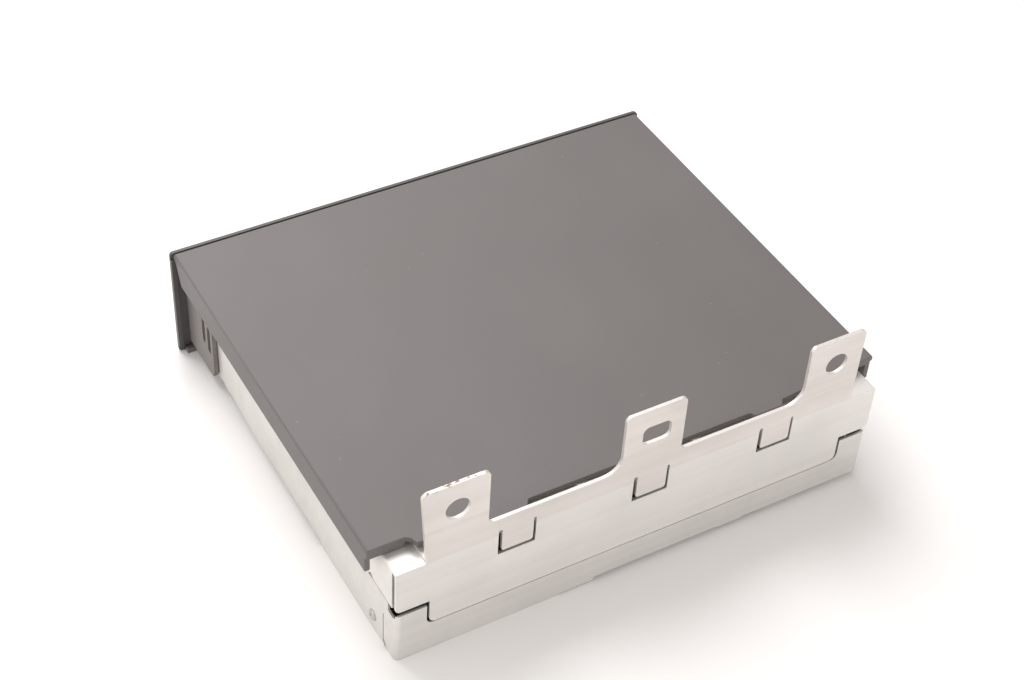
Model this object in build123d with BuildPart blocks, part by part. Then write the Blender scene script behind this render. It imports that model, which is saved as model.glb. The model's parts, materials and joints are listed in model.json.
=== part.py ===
"""Slim in-dash six-disc changer: steel case, plastic cover and bezel, rear mounting bracket, and the
loading, lift and playback mechanisms inside.

Millimetres. +Z is up, +Y points to the rear bracket, and the origin is at the middle of the
footprint, on the surface that the changer stands on.
"""

from build123d import *
import os
from math import acos, atan2, cos, degrees, hypot, pi, radians, sin, tan

os.makedirs("parts", exist_ok=True)

# ---------------------------------------------------------------- driving dimensions: whole object
OVERALL_DEPTH = 168.0  # key faces to the rear plane
SHEET = 0.8  # case steel
FIT_GAP = 0.3  # between pieces that lie against each other
RUN_FIT = 0.05  # radial play of everything that turns or slides on a pin

# case
CASE_WIDTH = 182.0
CASE_DEPTH = 158.6
CASE_TOP = 42.0
PAN_Z = 2.0  # underside of the pan
PAN_RISE = 3.4  # how much higher the pan is at the front
RISE_START = 106.0  # from the rear plane
RISE_END = 142.0
PAD_WIDTH = 60.7  # foot at the left rear corner
PAD_LENGTH = 55.0
SIDE_SEAM_Z = 24.4  # where the lid's flanges end
REAR_SEAM_Z = 13.0
END_SEAM_Z = 23.6
END_STRIP = 11.2  # width of the higher wall ends at the rear corners
LAP_Z = 39.9  # top of the wall laps inside the lid

# cover
COVER_WIDTH = 192.6
COVER_TOP = 46.6
COVER_WALL = 2.2
RIM_WALL = 2.0
RIM_DEPTH = 10.9
COVER_JOINT = 0.3  # between the bezel and the cover

# bezel
BEZEL_WIDTH = 194.8
BEZEL_TOP = 46.9
BEZEL_PLATE = 2.0
BEZEL_DEPTH = 7.2  # face to the front of the case, nearly
BEZEL_LIP = 2.0  # thickness of the bottom lip
BOTTOM_LIP_DEPTH = 2.6
SIDE_LIP = 1.7
SIDE_LIP_DEPTH = 0.9
KEY_PROUD = 2.0
CLIP_LENGTH = 17.3
CLIP_THICK = 1.6

# rear bracket
BRACKET = 1.2
TAB_WIDTH = 22.4
TAB_PITCH = 70.3
TAB_TOP = 73.3
LEFT_LEAN = 2.0  # the outer edges of the outer tabs spread by this much
RIGHT_LEAN = 0.5
STRIP_TOP = 49.8
BRACKET_SPAN = 80.4  # half the length of its foot
FOOT_DEPTH = 12.0
TONGUE_WIDTH = 11.3
TONGUE_Z = 34.4
NOTCH_SIDES = (0.9, 1.3)  # slits to the right and the left of each tongue
NOTCH_BOTTOM = 1.3
MOUNT_HOLE = 8.6
MOUNT_HOLE_Z = 62.0
SLOT_WIDTH = 10.6
SLOT_HEIGHT = 7.6

# discs and trays
DISC = 120.0
DISC_THICK = 1.2
DISC_CENTRE = 82.0  # from the rear plane
LOAD_Z = 26.4  # underside of a disc on its way in
TRAYS = 6
TRAY_PITCH = 2.4
TRAY_THICK = 1.0
MOUTH_WIDTH = 126.0
MOUTH_HEIGHT = 5.2

# mechanism frame
FRAME_HALF = 71.6  # outside of its side walls
FRAME_SHEET = 0.8
FRAME_FLOOR = 3.6
FRAME_STEP = 111.5  # where its floor steps up, from the rear plane
FRAME_FRONT = 156.5
FRAME_REAR = 6.0
FRAME_TOP = 39.6
FRONT_FLOOR = 7.2
EAR_Z = 9.0
EAR_THICK = 0.8
DAMPER_X = 80.0
DAMPER_BACK = (22.0, 88.0)
DAMPER_RADIUS = 4.4
SPRING_WIRE = 0.6
SPRING_RADIUS = 5.6
SPRING_TURNS = 5

# lift
LIFT_RATIO = 2.5  # slide travel for each unit of lift
CAM_PIN = 1.2  # radius
CAM_PINS_BACK = (52.0, 108.0)
CAM_PIN_Z = 19.0
CAM_PLATE = 1.0
CAM_GAP = 0.6
CAM_TOP = 38.0
STUD = 1.1  # radius
STUD_BACK = (45.0, 100.0)
STUD_Z = 35.2
RACK_MODULE = 0.8
PINION_TEETH = 12
SHAFT = 1.5  # radius
LIFT_SHAFT_BACK = 118.0
LIFT_SHAFT_Z = 11.2

# gears of both drives
MODULE = 0.6
PRESSURE = radians(20)
SLACK = 0.2  # thinning of each tooth at the pitch line
CENTRE_PLAY = 0.1
GEAR_IN = 75.2  # inner faces of the first gear row
GEAR_WIDTH = 2.2
GEAR_SPACE = 0.4
BIG_WIDTH = 1.8
GEAR_PLATE = 80.4
IDLER_SMALL = 12
IDLER_BIG = 36
MOTOR_TEETH = 10
LIFT_TEETH = 16
ROLLER_TEETH = 20
MOTOR_LENGTH = 7.6
MOTOR_RADIUS = 7.5
IDLER_PIN = 1.0

# loading roller
ROLLER = 3.2  # radius
ROLLER_BACK = 150.0
ROLLER_HALF = 58.0
ROLLER_SHAFT = 1.25

# playback arm, swung out to its parking place
PIVOT_X = -62.0
PIVOT_BACK = 30.0
ARM_SWING = 35.0  # degrees from parked to playing
ARM_Z = 5.0
ARM_PLATE = 1.0
PIVOT_PIN = 2.5
SPINDLE_RADIUS = 12.0
SPINDLE_HEIGHT = 3.2
TURNTABLE = 14.5
TURNTABLE_TOP = 12.2
ROD = 1.5
ROD_Z = 8.2
SCREW = 1.2
SCREW_Z = 9.0
LENS_INNER = 24.0
LENS_TRAVEL = 34.0

# front panel
KEYS = 6
KEY_PITCH = 19.0
KEY_WIDTH = 13.0
KEY_HEIGHT = 6.5
KEY_Z = 11.0
END_KEY_X = 78.5
END_KEY_WIDTH = 17.0
END_KEY_HEIGHT = 8.0
KEY_TRAVEL = 0.35
BOARD = 1.2

# ---------------------------------------------------------------- places worked out from them
REAR = OVERALL_DEPTH / 2


def back(distance):
    """Y of a place that lies this far in front of the rear plane."""
    return REAR - distance


WALL_X = CASE_WIDTH / 2
CASE_FRONT = back(CASE_DEPTH)
BEZEL_FRONT = -REAR + KEY_PROUD
PLATE_BACK = BEZEL_FRONT + BEZEL_PLATE
BEZEL_REAR = BEZEL_FRONT + BEZEL_DEPTH
DISC_Y = back(DISC_CENTRE)
MOUTH_Z = LOAD_Z + DISC_THICK / 2
LIFT = (TRAYS - 1) * TRAY_PITCH
SLIDE_TRAVEL = LIFT * LIFT_RATIO
FRAME_IN = FRAME_HALF - FRAME_SHEET
CAM_IN = FRAME_HALF + CAM_GAP
CAM_OUT = CAM_IN + CAM_PLATE
LID_UNDER = CASE_TOP - SHEET
COVER_UNDER = COVER_TOP - COVER_WALL
LAP_OUT = WALL_X - SHEET - 0.1
LAP_IN = LAP_OUT - SHEET
NUMBER_KEY_X = [(k - (KEYS - 1) / 2) * KEY_PITCH for k in range(KEYS)]


def pan_under(y):
    """Height of the pan's underside at y: level at the rear, then rising to the front."""
    along = (back(RISE_START) - y) / (RISE_END - RISE_START)
    return PAN_Z + PAN_RISE * min(max(along, 0.0), 1.0)


# ---------------------------------------------------------------- helpers
def save(piece, name, place=Location()):
    """Put a finished piece in its place, label it and write its file."""
    solid = piece.part.moved(place)
    solid.label = name
    export_step(solid, f"parts/{name}.step")


def block(x, y, z, mode=Mode.ADD):
    """A box between the given (low, high) pairs."""
    with Locations(((x[0] + x[1]) / 2, (y[0] + y[1]) / 2, (z[0] + z[1]) / 2)):
        Box(x[1] - x[0], y[1] - y[0], z[1] - z[0], mode=mode)


def rod(radius, start, end, mode=Mode.ADD):
    """A round bar from one point to another."""
    axis = Vector(*end) - Vector(*start)
    with BuildSketch(Plane(origin=start, z_dir=axis)) as section:
        Circle(radius)
    extrude(section.sketch, amount=axis.length, mode=mode)


def bar(radius, y, z, x, mode=Mode.ADD):
    """A round bar along X at (y, z), between the two values of x."""
    rod(radius, (min(x), y, z), (max(x), y, z), mode)


def both(x):
    """The (low, high) pair x on the left side, then its mirror image on the right side."""
    return [x, (-x[1], -x[0])]


def slot_x(y, z, size, x, mode=Mode.SUBTRACT):
    """A round-ended slot through a wall that faces X, between the two values of y and of z."""
    (y0, y1), (z0, z1) = y, z
    run = hypot(y1 - y0, z1 - z0)
    tilt = degrees(atan2(z1 - z0, y1 - y0))
    with BuildSketch(Plane.YZ.offset(x[0])) as section:
        with Locations(((y0 + y1) / 2, (z0 + z1) / 2)):
            SlotCenterToCenter(run, size, rotation=tilt)
    extrude(section.sketch, amount=x[1] - x[0], mode=mode)


def tooth_half(teeth, module, radius):
    """Half the angle that an involute tooth takes up at a radius, thinned by SLACK."""
    pitch = teeth * module / 2
    base = pitch * cos(PRESSURE)
    roll = acos(base / max(radius, base))
    at_pitch = tan(PRESSURE) - PRESSURE
    return pi / (2 * teeth) - SLACK / (2 * pitch) + at_pitch - (tan(roll) - roll)


def gear(teeth, module, centre, x, first, mode=Mode.ADD):
    """A spur gear about an X axis at centre (y, z), with a tooth at the angle first (radians)."""
    pitch = teeth * module / 2
    root, tip = pitch - 1.2 * module, pitch + 0.8 * module
    start = max(root, pitch * cos(PRESSURE))
    radii = [root] + [start + (tip - start) * k / 4 for k in range(5)]
    points = []
    for tooth in range(teeth):
        middle = first + 2 * pi * tooth / teeth
        rising = [(r, middle - tooth_half(teeth, module, r)) for r in radii]
        falling = [(r, middle + tooth_half(teeth, module, r)) for r in reversed(radii)]
        points += [(centre[0] + r * cos(a), centre[1] + r * sin(a)) for r, a in rising + falling]
    with BuildSketch(Plane.YZ.offset(min(x))) as outline:
        with BuildLine():
            Polyline(*points, close=True)
        make_face()
    extrude(outline.sketch, amount=abs(x[1] - x[0]), mode=mode)


def meshed(first, teeth, centre, other_teeth, other_centre):
    """Tooth angle of a gear that meshes with the gear (first, teeth, centre)."""
    line = atan2(other_centre[1] - centre[1], other_centre[0] - centre[0])
    return line + pi + (line - first) * teeth / other_teeth + pi / other_teeth


def beside(centre, teeth, other_teeth, angle):
    """Centre of a gear that meshes with another, in the direction angle (degrees)."""
    reach = (teeth + other_teeth) * MODULE / 2 + CENTRE_PLAY
    return (centre[0] + reach * cos(radians(angle)), centre[1] + reach * sin(radians(angle)))


# ---------------------------------------------------------------- case
PAD_X = (WALL_X - PAD_WIDTH, WALL_X)
SHELF = (17.4, 0.5)  # step beside the foot at PAD_X: where it ends, and its height
FEET = (  # pressed down towards the surface that the changer stands on: x, y and height
    (PAD_X, (back(PAD_LENGTH), REAR), 0.0),
    ((SHELF[0], PAD_X[0]), (back(PAD_LENGTH), REAR), SHELF[1]),
    ((-88.0, -60.0), (back(70.0), back(30.0)), 0.0),
)
LUG = (-41.8, -31.4)  # small lug below the rear wall
LUG_DROP = 0.5
SEAM_ARC = 2.5  # rounded corners of the lid's rear flange
CORNER_ARC = 2.0  # the case's rear corners
STEP_Z = 20.4  # side walls beside the rear corners
STEP_LENGTH = 5.0
PLUG_BACK = (31.0, 59.0)  # window for the socket in the right wall
PLUG_Z = (13.4, 22.6)
# slit in the side walls: distance from the rear plane, and height
SLIT = ((8.5, 15.4), (8.0, 15.4), (8.0, 3.2), (4.4, -1.0), (6.6, -1.0), (8.5, 2.0))
WINDOW_HALF = 66.0
WINDOW_Z = (19.5, 35.4)
RIVET_BACK = 15.8
RIVET_Z = 6.4
LID_SCREW_BACK = (24.0, 80.0, 136.0)
LID_SCREW_Z = 37.8


def pan_outline(inset, top):
    """The case's outer form, taken in by inset on every side that the sheet covers."""
    with BuildSketch(Plane.YZ.offset(-WALL_X + inset)) as profile:
        with BuildLine():
            Polyline(
                (REAR - inset, PAN_Z + inset),
                (back(RISE_START), PAN_Z + inset),
                (back(RISE_END), PAN_Z + PAN_RISE + inset),
                (CASE_FRONT + inset, PAN_Z + PAN_RISE + inset),
                (CASE_FRONT + inset, top),
                (REAR - inset, top),
                close=True,
            )
        make_face()
    mode = Mode.ADD if inset == 0 else Mode.SUBTRACT
    extrude(profile.sketch, amount=CASE_WIDTH - 2 * inset, mode=mode)
    for x, y, z in FEET:
        block((x[0] + inset, x[1] - inset), (y[0] + inset, y[1] - inset), (z + inset, PAN_Z + inset + SHEET), mode)


with BuildPart() as lower_case:
    pan_outline(0, SIDE_SEAM_Z - FIT_GAP)
    pan_outline(SHEET, SIDE_SEAM_Z - FIT_GAP)
    block(LUG, (back(SHEET), REAR), (PAN_Z - LUG_DROP, PAN_Z))
    # side walls step in by one sheet and lap inside the lid
    jog_z = (SIDE_SEAM_Z - FIT_GAP - SHEET, SIDE_SEAM_Z - FIT_GAP)
    for x in both((LAP_IN, WALL_X)):
        block(x, (CASE_FRONT, back(END_STRIP)), jog_z)
    for x in both((LAP_IN, LAP_OUT)):
        block(x, (CASE_FRONT + SHEET + 0.1, back(END_STRIP)), (jog_z[0], LAP_Z))
    # front wall with the disc window
    front_wall = (CASE_FRONT + SHEET + 0.1, CASE_FRONT + 2 * SHEET + 0.1)
    block((-LAP_IN, LAP_IN), front_wall, (jog_z[0], LAP_Z))
    block((-WALL_X, WALL_X), (CASE_FRONT, front_wall[1]), jog_z)
    block((-WINDOW_HALF, WINDOW_HALF), (CASE_FRONT - 1, front_wall[1] + 1), WINDOW_Z, Mode.SUBTRACT)
    # rear wall: low in the middle, with a lap behind the lid, and higher at both ends
    middle = WALL_X - END_STRIP
    low = REAR_SEAM_Z - FIT_GAP
    with BuildSketch(Plane.XZ.offset(-REAR - 1)) as opening:
        with Locations((0, (low + CASE_TOP) / 2)):
            Rectangle(2 * middle, CASE_TOP - low)
        fillet(opening.vertices().group_by(Axis.Y)[0], radius=SEAM_ARC)
    extrude(opening.sketch, amount=SHEET + 1.01, mode=Mode.SUBTRACT)
    block((-WALL_X, WALL_X), (back(SHEET), REAR + 1), (END_SEAM_Z - 2.0, CASE_TOP), Mode.SUBTRACT)
    block((-60, 60), (back(2 * SHEET + 0.1), back(0)), (low - SHEET, low))
    block((-60, 60), (back(2 * SHEET + 0.1), back(SHEET + 0.1)), (low - SHEET, TONGUE_Z - NOTCH_BOTTOM - FIT_GAP))
    # side walls end lower beside the rear corners, with a slit that leans back below
    for x in both((WALL_X - SHEET - 0.1, WALL_X + 0.5)):
        block(x, (back(STEP_LENGTH), back(SHEET)), (STEP_Z, CASE_TOP), Mode.SUBTRACT)
        with BuildSketch(Plane.YZ.offset(x[0])) as slit:
            with BuildLine():
                Polyline(*[(back(place), z) for place, z in SLIT], close=True)
            make_face()
        extrude(slit.sketch, amount=x[1] - x[0], mode=Mode.SUBTRACT)
    # the socket's window
    plug_y = (back(PLUG_BACK[1]), back(PLUG_BACK[0]))
    block((-WALL_X - 1, -WALL_X + SHEET + 0.1), plug_y, PLUG_Z, Mode.SUBTRACT)
    for x in both((WALL_X - SHEET - 1, WALL_X + 1)):
        bar(1.3, back(RIVET_BACK), RIVET_Z, x, Mode.SUBTRACT)
    for x in both((LAP_IN - 0.5, LAP_OUT + 0.05)):
        for place in LID_SCREW_BACK:
            bar(1.3, back(place), LID_SCREW_Z, x, Mode.SUBTRACT)
    fillet(lower_case.edges().filter_by(Axis.Z).filter_by_position(Axis.Y, REAR - 0.01, REAR + 0.01)
           .filter_by(lambda e: abs(abs(e.center().X) - WALL_X) < 0.01), radius=CORNER_ARC)
    fillet(lower_case.edges().filter_by(Axis.Z).filter_by(
        lambda e: abs(abs(e.center().X) - WALL_X + SHEET) < 0.01 and abs(e.center().Y - back(SHEET)) < 0.01),
        radius=CORNER_ARC - SHEET)
save(lower_case, "lower_case")

TONGUE_CENTRES = (48.2, -1.2, -49.9)
BRACKET_RIVETS = (67.0, 22.0, -22.0, -67.0)
BRACKET_RIVET_Y = back(8.2)

with BuildPart() as top_lid:
    block((-WALL_X, WALL_X), (CASE_FRONT, REAR), (LID_UNDER, CASE_TOP))
    for x in both((WALL_X - SHEET, WALL_X)):
        block(x, (CASE_FRONT, back(2.3)), (SIDE_SEAM_Z, CASE_TOP))
    with BuildSketch(Plane.XZ.offset(-REAR)) as flange:
        with Locations((0, (END_SEAM_Z + CASE_TOP) / 2)):
            Rectangle(2 * WALL_X - 0.2, CASE_TOP - END_SEAM_Z)
        fillet(flange.vertices().group_by(Axis.Y)[0], radius=CORNER_ARC)
    extrude(flange.sketch, amount=SHEET)
    with BuildSketch(Plane.XZ.offset(-REAR)) as flange:
        with Locations((0, (REAR_SEAM_Z + CASE_TOP) / 2)):
            Rectangle(2 * (middle - 0.9), CASE_TOP - REAR_SEAM_Z)
        fillet(flange.vertices().group_by(Axis.Y)[0], radius=SEAM_ARC)
    extrude(flange.sketch, amount=SHEET)
    block((-LAP_IN, LAP_IN), (CASE_FRONT, CASE_FRONT + SHEET), (LAP_Z - 5.0, CASE_TOP))
    for centre in TONGUE_CENTRES:
        notch = (centre - TONGUE_WIDTH / 2 - NOTCH_SIDES[0], centre + TONGUE_WIDTH / 2 + NOTCH_SIDES[1])
        block(notch, (back(BRACKET + FIT_GAP), REAR + 1), (TONGUE_Z - NOTCH_BOTTOM, CASE_TOP + 1), Mode.SUBTRACT)
    for x in both((WALL_X - SHEET - 0.5, WALL_X + 0.5)):
        bar(1.3, back(17.1), SIDE_SEAM_Z, x, Mode.SUBTRACT)
        for place in LID_SCREW_BACK:
            bar(1.3, back(place), LID_SCREW_Z, x, Mode.SUBTRACT)
    for x in BRACKET_RIVETS:
        rod(1.3, (x, BRACKET_RIVET_Y, LID_UNDER - 1), (x, BRACKET_RIVET_Y, CASE_TOP + 1), Mode.SUBTRACT)
    fillet(top_lid.edges().filter_by(Axis.Y).group_by(Axis.Z)[-1].filter_by(
        lambda e: abs(abs(e.center().X) - WALL_X) < 0.01), radius=0.7)
save(top_lid, "top_lid")

with BuildPart() as lid_screws:
    for side in (1, -1):
        for place in LID_SCREW_BACK:
            bar(1.25, back(place), LID_SCREW_Z, (side * (LAP_IN - 0.6), side * WALL_X))
            bar(2.6, back(place), LID_SCREW_Z, (side * WALL_X, side * (WALL_X + 1.6)))
            bar(1.0, back(place), LID_SCREW_Z, (side * (WALL_X + 0.8), side * (WALL_X + 1.7)), Mode.SUBTRACT)
save(lid_screws, "lid_screws")

with BuildPart() as wall_rivets:
    for side in (1, -1):
        bar(1.2, back(RIVET_BACK), RIVET_Z, (side * (WALL_X - SHEET - 1.0), side * WALL_X))
        bar(2.2, back(RIVET_BACK), RIVET_Z, (side * WALL_X, side * (WALL_X + 0.7)))
        bar(1.9, back(RIVET_BACK), RIVET_Z, (side * (WALL_X - SHEET - 1.0), side * (WALL_X - SHEET)))
        bar(0.7, back(RIVET_BACK), RIVET_Z, (side * (WALL_X - 0.4), side * (WALL_X + 0.8)), Mode.SUBTRACT)
save(wall_rivets, "wall_rivets")

# ---------------------------------------------------------------- rear bracket
TAB_CENTRES = (TAB_PITCH, 0.0, -TAB_PITCH)

with BuildPart() as rear_bracket:
    with BuildSketch(Plane.XZ.offset(-REAR)) as face:
        foot_z = CASE_TOP
        with Locations((0, (foot_z + STRIP_TOP) / 2)):
            Rectangle(2 * BRACKET_SPAN, STRIP_TOP - foot_z)
        for centre in TAB_CENTRES:
            lean = (centre > 0) * LEFT_LEAN, (centre < 0) * RIGHT_LEAN
            left, right = centre - TAB_WIDTH / 2, centre + TAB_WIDTH / 2
            if centre > 0:
                right = BRACKET_SPAN
            if centre < 0:
                left = -BRACKET_SPAN
            with BuildLine():
                Polyline((left, foot_z + 1), (right, foot_z + 1), (right + lean[0], TAB_TOP),
                         (left - lean[1], TAB_TOP), close=True)
            make_face()
        fillet(face.vertices().group_by(Axis.Y)[-1], radius=2.0)
        inner = face.vertices().filter_by(
            lambda v: abs(v.Y - STRIP_TOP) < 0.3 and abs(v.X) < BRACKET_SPAN - 1).sort_by(Axis.X)
        fillet([inner[0], inner[2]], radius=6.5)
        inner = face.vertices().filter_by(
            lambda v: abs(v.Y - STRIP_TOP) < 0.3 and abs(v.X) < BRACKET_SPAN - 1)
        sharp = [v for v in inner if min(abs(v.X + TAB_WIDTH / 2), abs(v.X - TAB_PITCH + TAB_WIDTH / 2)) < 0.1]
        fillet(sharp, radius=1.8)
        for centre in TONGUE_CENTRES:
            with Locations((centre, (TONGUE_Z + foot_z) / 2 + 0.5)):
                Rectangle(TONGUE_WIDTH, foot_z - TONGUE_Z + 1)
        fillet(face.vertices().group_by(Axis.Y)[0], radius=1.0)
        for centre in (TAB_PITCH, -TAB_PITCH):
            with Locations((centre - 0.3, MOUNT_HOLE_Z)):
                Circle(MOUNT_HOLE / 2, mode=Mode.SUBTRACT)
        with Locations((-0.8, MOUNT_HOLE_Z)):
            RectangleRounded(SLOT_WIDTH, SLOT_HEIGHT, 2.4, mode=Mode.SUBTRACT)
    extrude(amount=BRACKET)
    block((-BRACKET_SPAN, BRACKET_SPAN), (back(FOOT_DEPTH), back(0.01)), (foot_z, foot_z + BRACKET))
    # the foot is relieved beside each tongue, where the sheet stays unbent
    for centre in TONGUE_CENTRES:
        edges = (centre - TONGUE_WIDTH / 2, centre + TONGUE_WIDTH / 2)
        for relief in ((edges[0] - NOTCH_SIDES[0], edges[0]), (edges[1], edges[1] + NOTCH_SIDES[1])):
            block(relief, (back(FOOT_DEPTH * 0.3), REAR + 1), (foot_z - 1, foot_z + 2.2), Mode.SUBTRACT)
    for x in BRACKET_RIVETS:
        rod(1.3, (x, BRACKET_RIVET_Y, foot_z - 1), (x, BRACKET_RIVET_Y, foot_z + 3), Mode.SUBTRACT)
save(rear_bracket, "rear_bracket")

with BuildPart() as bracket_rivets:
    for x in BRACKET_RIVETS:
        rod(1.25, (x, BRACKET_RIVET_Y, LID_UNDER), (x, BRACKET_RIVET_Y, CASE_TOP + BRACKET))
        rod(2.4, (x, BRACKET_RIVET_Y, CASE_TOP + BRACKET), (x, BRACKET_RIVET_Y, CASE_TOP + BRACKET + 0.9))
        rod(2.0, (x, BRACKET_RIVET_Y, LID_UNDER - 0.7), (x, BRACKET_RIVET_Y, LID_UNDER))
save(bracket_rivets, "bracket_rivets")

# ---------------------------------------------------------------- cover
COVER_X = COVER_WIDTH / 2
COVER_EDGE_Y = PLATE_BACK + COVER_JOINT
LIP_DROP = 2.1  # rear lip below the underside of the cover
CORNER_BACK = 9.1  # rear edge of the cover at its left corner
RIGHT_CORNER_BACK = 9.8
RIM_BACK = 10.5
STRIP_BACK = 2.2  # rear edge behind the bracket's strip
RECESS_BACK = 5.8
RIM_FRONT = REAR - PLATE_BACK - 1.5
RIM_SLOPE = 4.4
COVER_RIB = 1.6

with BuildPart() as top_cover:
    with BuildSketch(Plane.XY.offset(COVER_UNDER)) as top_face:
        with BuildLine():
            Polyline(
                (-COVER_X, COVER_EDGE_Y), (COVER_X, COVER_EDGE_Y), (COVER_X, back(CORNER_BACK)),
                (BRACKET_SPAN + 2.6, back(CORNER_BACK)), (BRACKET_SPAN + 1.2, back(CORNER_BACK - 1.2)),
                (BRACKET_SPAN + 0.4, back(RECESS_BACK - 0.3)),
                (48.0, back(STRIP_BACK)), (44.0, back(STRIP_BACK)), (41.5, back(RECESS_BACK)),
                (6.5, back(RECESS_BACK)), (4.0, back(STRIP_BACK)), (-10.5, back(STRIP_BACK)),
                (-11.5, back(RECESS_BACK)), (-42.5, back(RECESS_BACK)), (-44.0, back(RECESS_BACK - 1.8)),
                (-54.5, back(RECESS_BACK - 1.8)), (-56.0, back(RECESS_BACK + 0.6)),
                (-BRACKET_SPAN, back(CORNER_BACK - 0.6)), (-COVER_X, back(RIGHT_CORNER_BACK)), close=True,
            )
        make_face()
    extrude(amount=COVER_WALL)
    # rims down both sides, sloped where they meet the bezel
    for x in both((COVER_X - RIM_WALL, COVER_X)):
        with BuildSketch(Plane.YZ.offset(x[0])) as rim:
            with BuildLine():
                Polyline(
                    (back(RIM_FRONT), COVER_TOP - COVER_WALL), (back(RIM_FRONT - 2), COVER_TOP - 0.4),
                    (back(RIM_BACK), COVER_TOP - 0.4), (back(RIM_BACK), COVER_TOP - RIM_DEPTH),
                    (back(RIM_FRONT - RIM_SLOPE), COVER_TOP - RIM_DEPTH), close=True,
                )
            make_face()
        extrude(rim.sketch, amount=RIM_WALL)
    # lip along the rear edge, clear of the bracket's foot
    for x in both((BRACKET_SPAN + 1.6, COVER_X)):
        block(x, (back(RIM_BACK + 1.8), back(RIM_BACK)), (COVER_UNDER - LIP_DROP, COVER_TOP - 0.4))
    block((BRACKET_SPAN + 2.6, COVER_X), (back(RIM_BACK), back(CORNER_BACK)),
          (COVER_UNDER - LIP_DROP, COVER_UNDER + 0.2))
    # ribs that stand on the lid, and side ribs that centre the cover on the case
    for x in (-60.0, -20.0, 20.0, 60.0):
        block((x - COVER_RIB / 2, x + COVER_RIB / 2), (COVER_EDGE_Y + 9, back(FOOT_DEPTH + 3)),
              (CASE_TOP, COVER_UNDER + 0.2))
    for x in both((WALL_X + FIT_GAP, COVER_X - RIM_WALL + 0.2)):
        for place in (46.0, 62.0, 98.0, 114.0):
            block(x, (back(place + COVER_RIB), back(place)), (COVER_TOP - RIM_DEPTH, COVER_UNDER + 0.2))
    fillet(top_cover.edges().filter_by(Axis.Y).group_by(Axis.Z)[-1].filter_by(
        lambda e: abs(abs(e.center().X) - COVER_X) < 0.01), radius=0.9)
save(top_cover, "top_cover")

# ---------------------------------------------------------------- bezel, shutter and keys
BEZEL_X = BEZEL_WIDTH / 2
LIGHT_Z = KEY_Z + KEY_HEIGHT / 2 + 4.2
LIGHT_WIDTH = 4.0
LIGHT_HEIGHT = 1.6
KEY_GAP = 0.25
CLIP_X = (WALL_X + FIT_GAP, WALL_X + FIT_GAP + CLIP_THICK)
CLIP_Z = (4.6, 38.5)
SHUTTER_PIN = 0.9
SHUTTER_THICK = 1.0
SHUTTER_Z = MOUTH_Z + MOUTH_HEIGHT / 2 + 2.0
SHUTTER_Y = PLATE_BACK + 1.6
SHUTTER_DROP = MOUTH_HEIGHT + 2.8
SHUTTER_END = MOUTH_WIDTH / 2 + 0.6
PIN_END = SHUTTER_END + 1.9
NUMBER_KEYS = [(x, KEY_Z, KEY_WIDTH, KEY_HEIGHT) for x in NUMBER_KEY_X]
END_KEYS = [(x, MOUTH_Z, END_KEY_WIDTH, END_KEY_HEIGHT) for x in (END_KEY_X, -END_KEY_X)]

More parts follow.
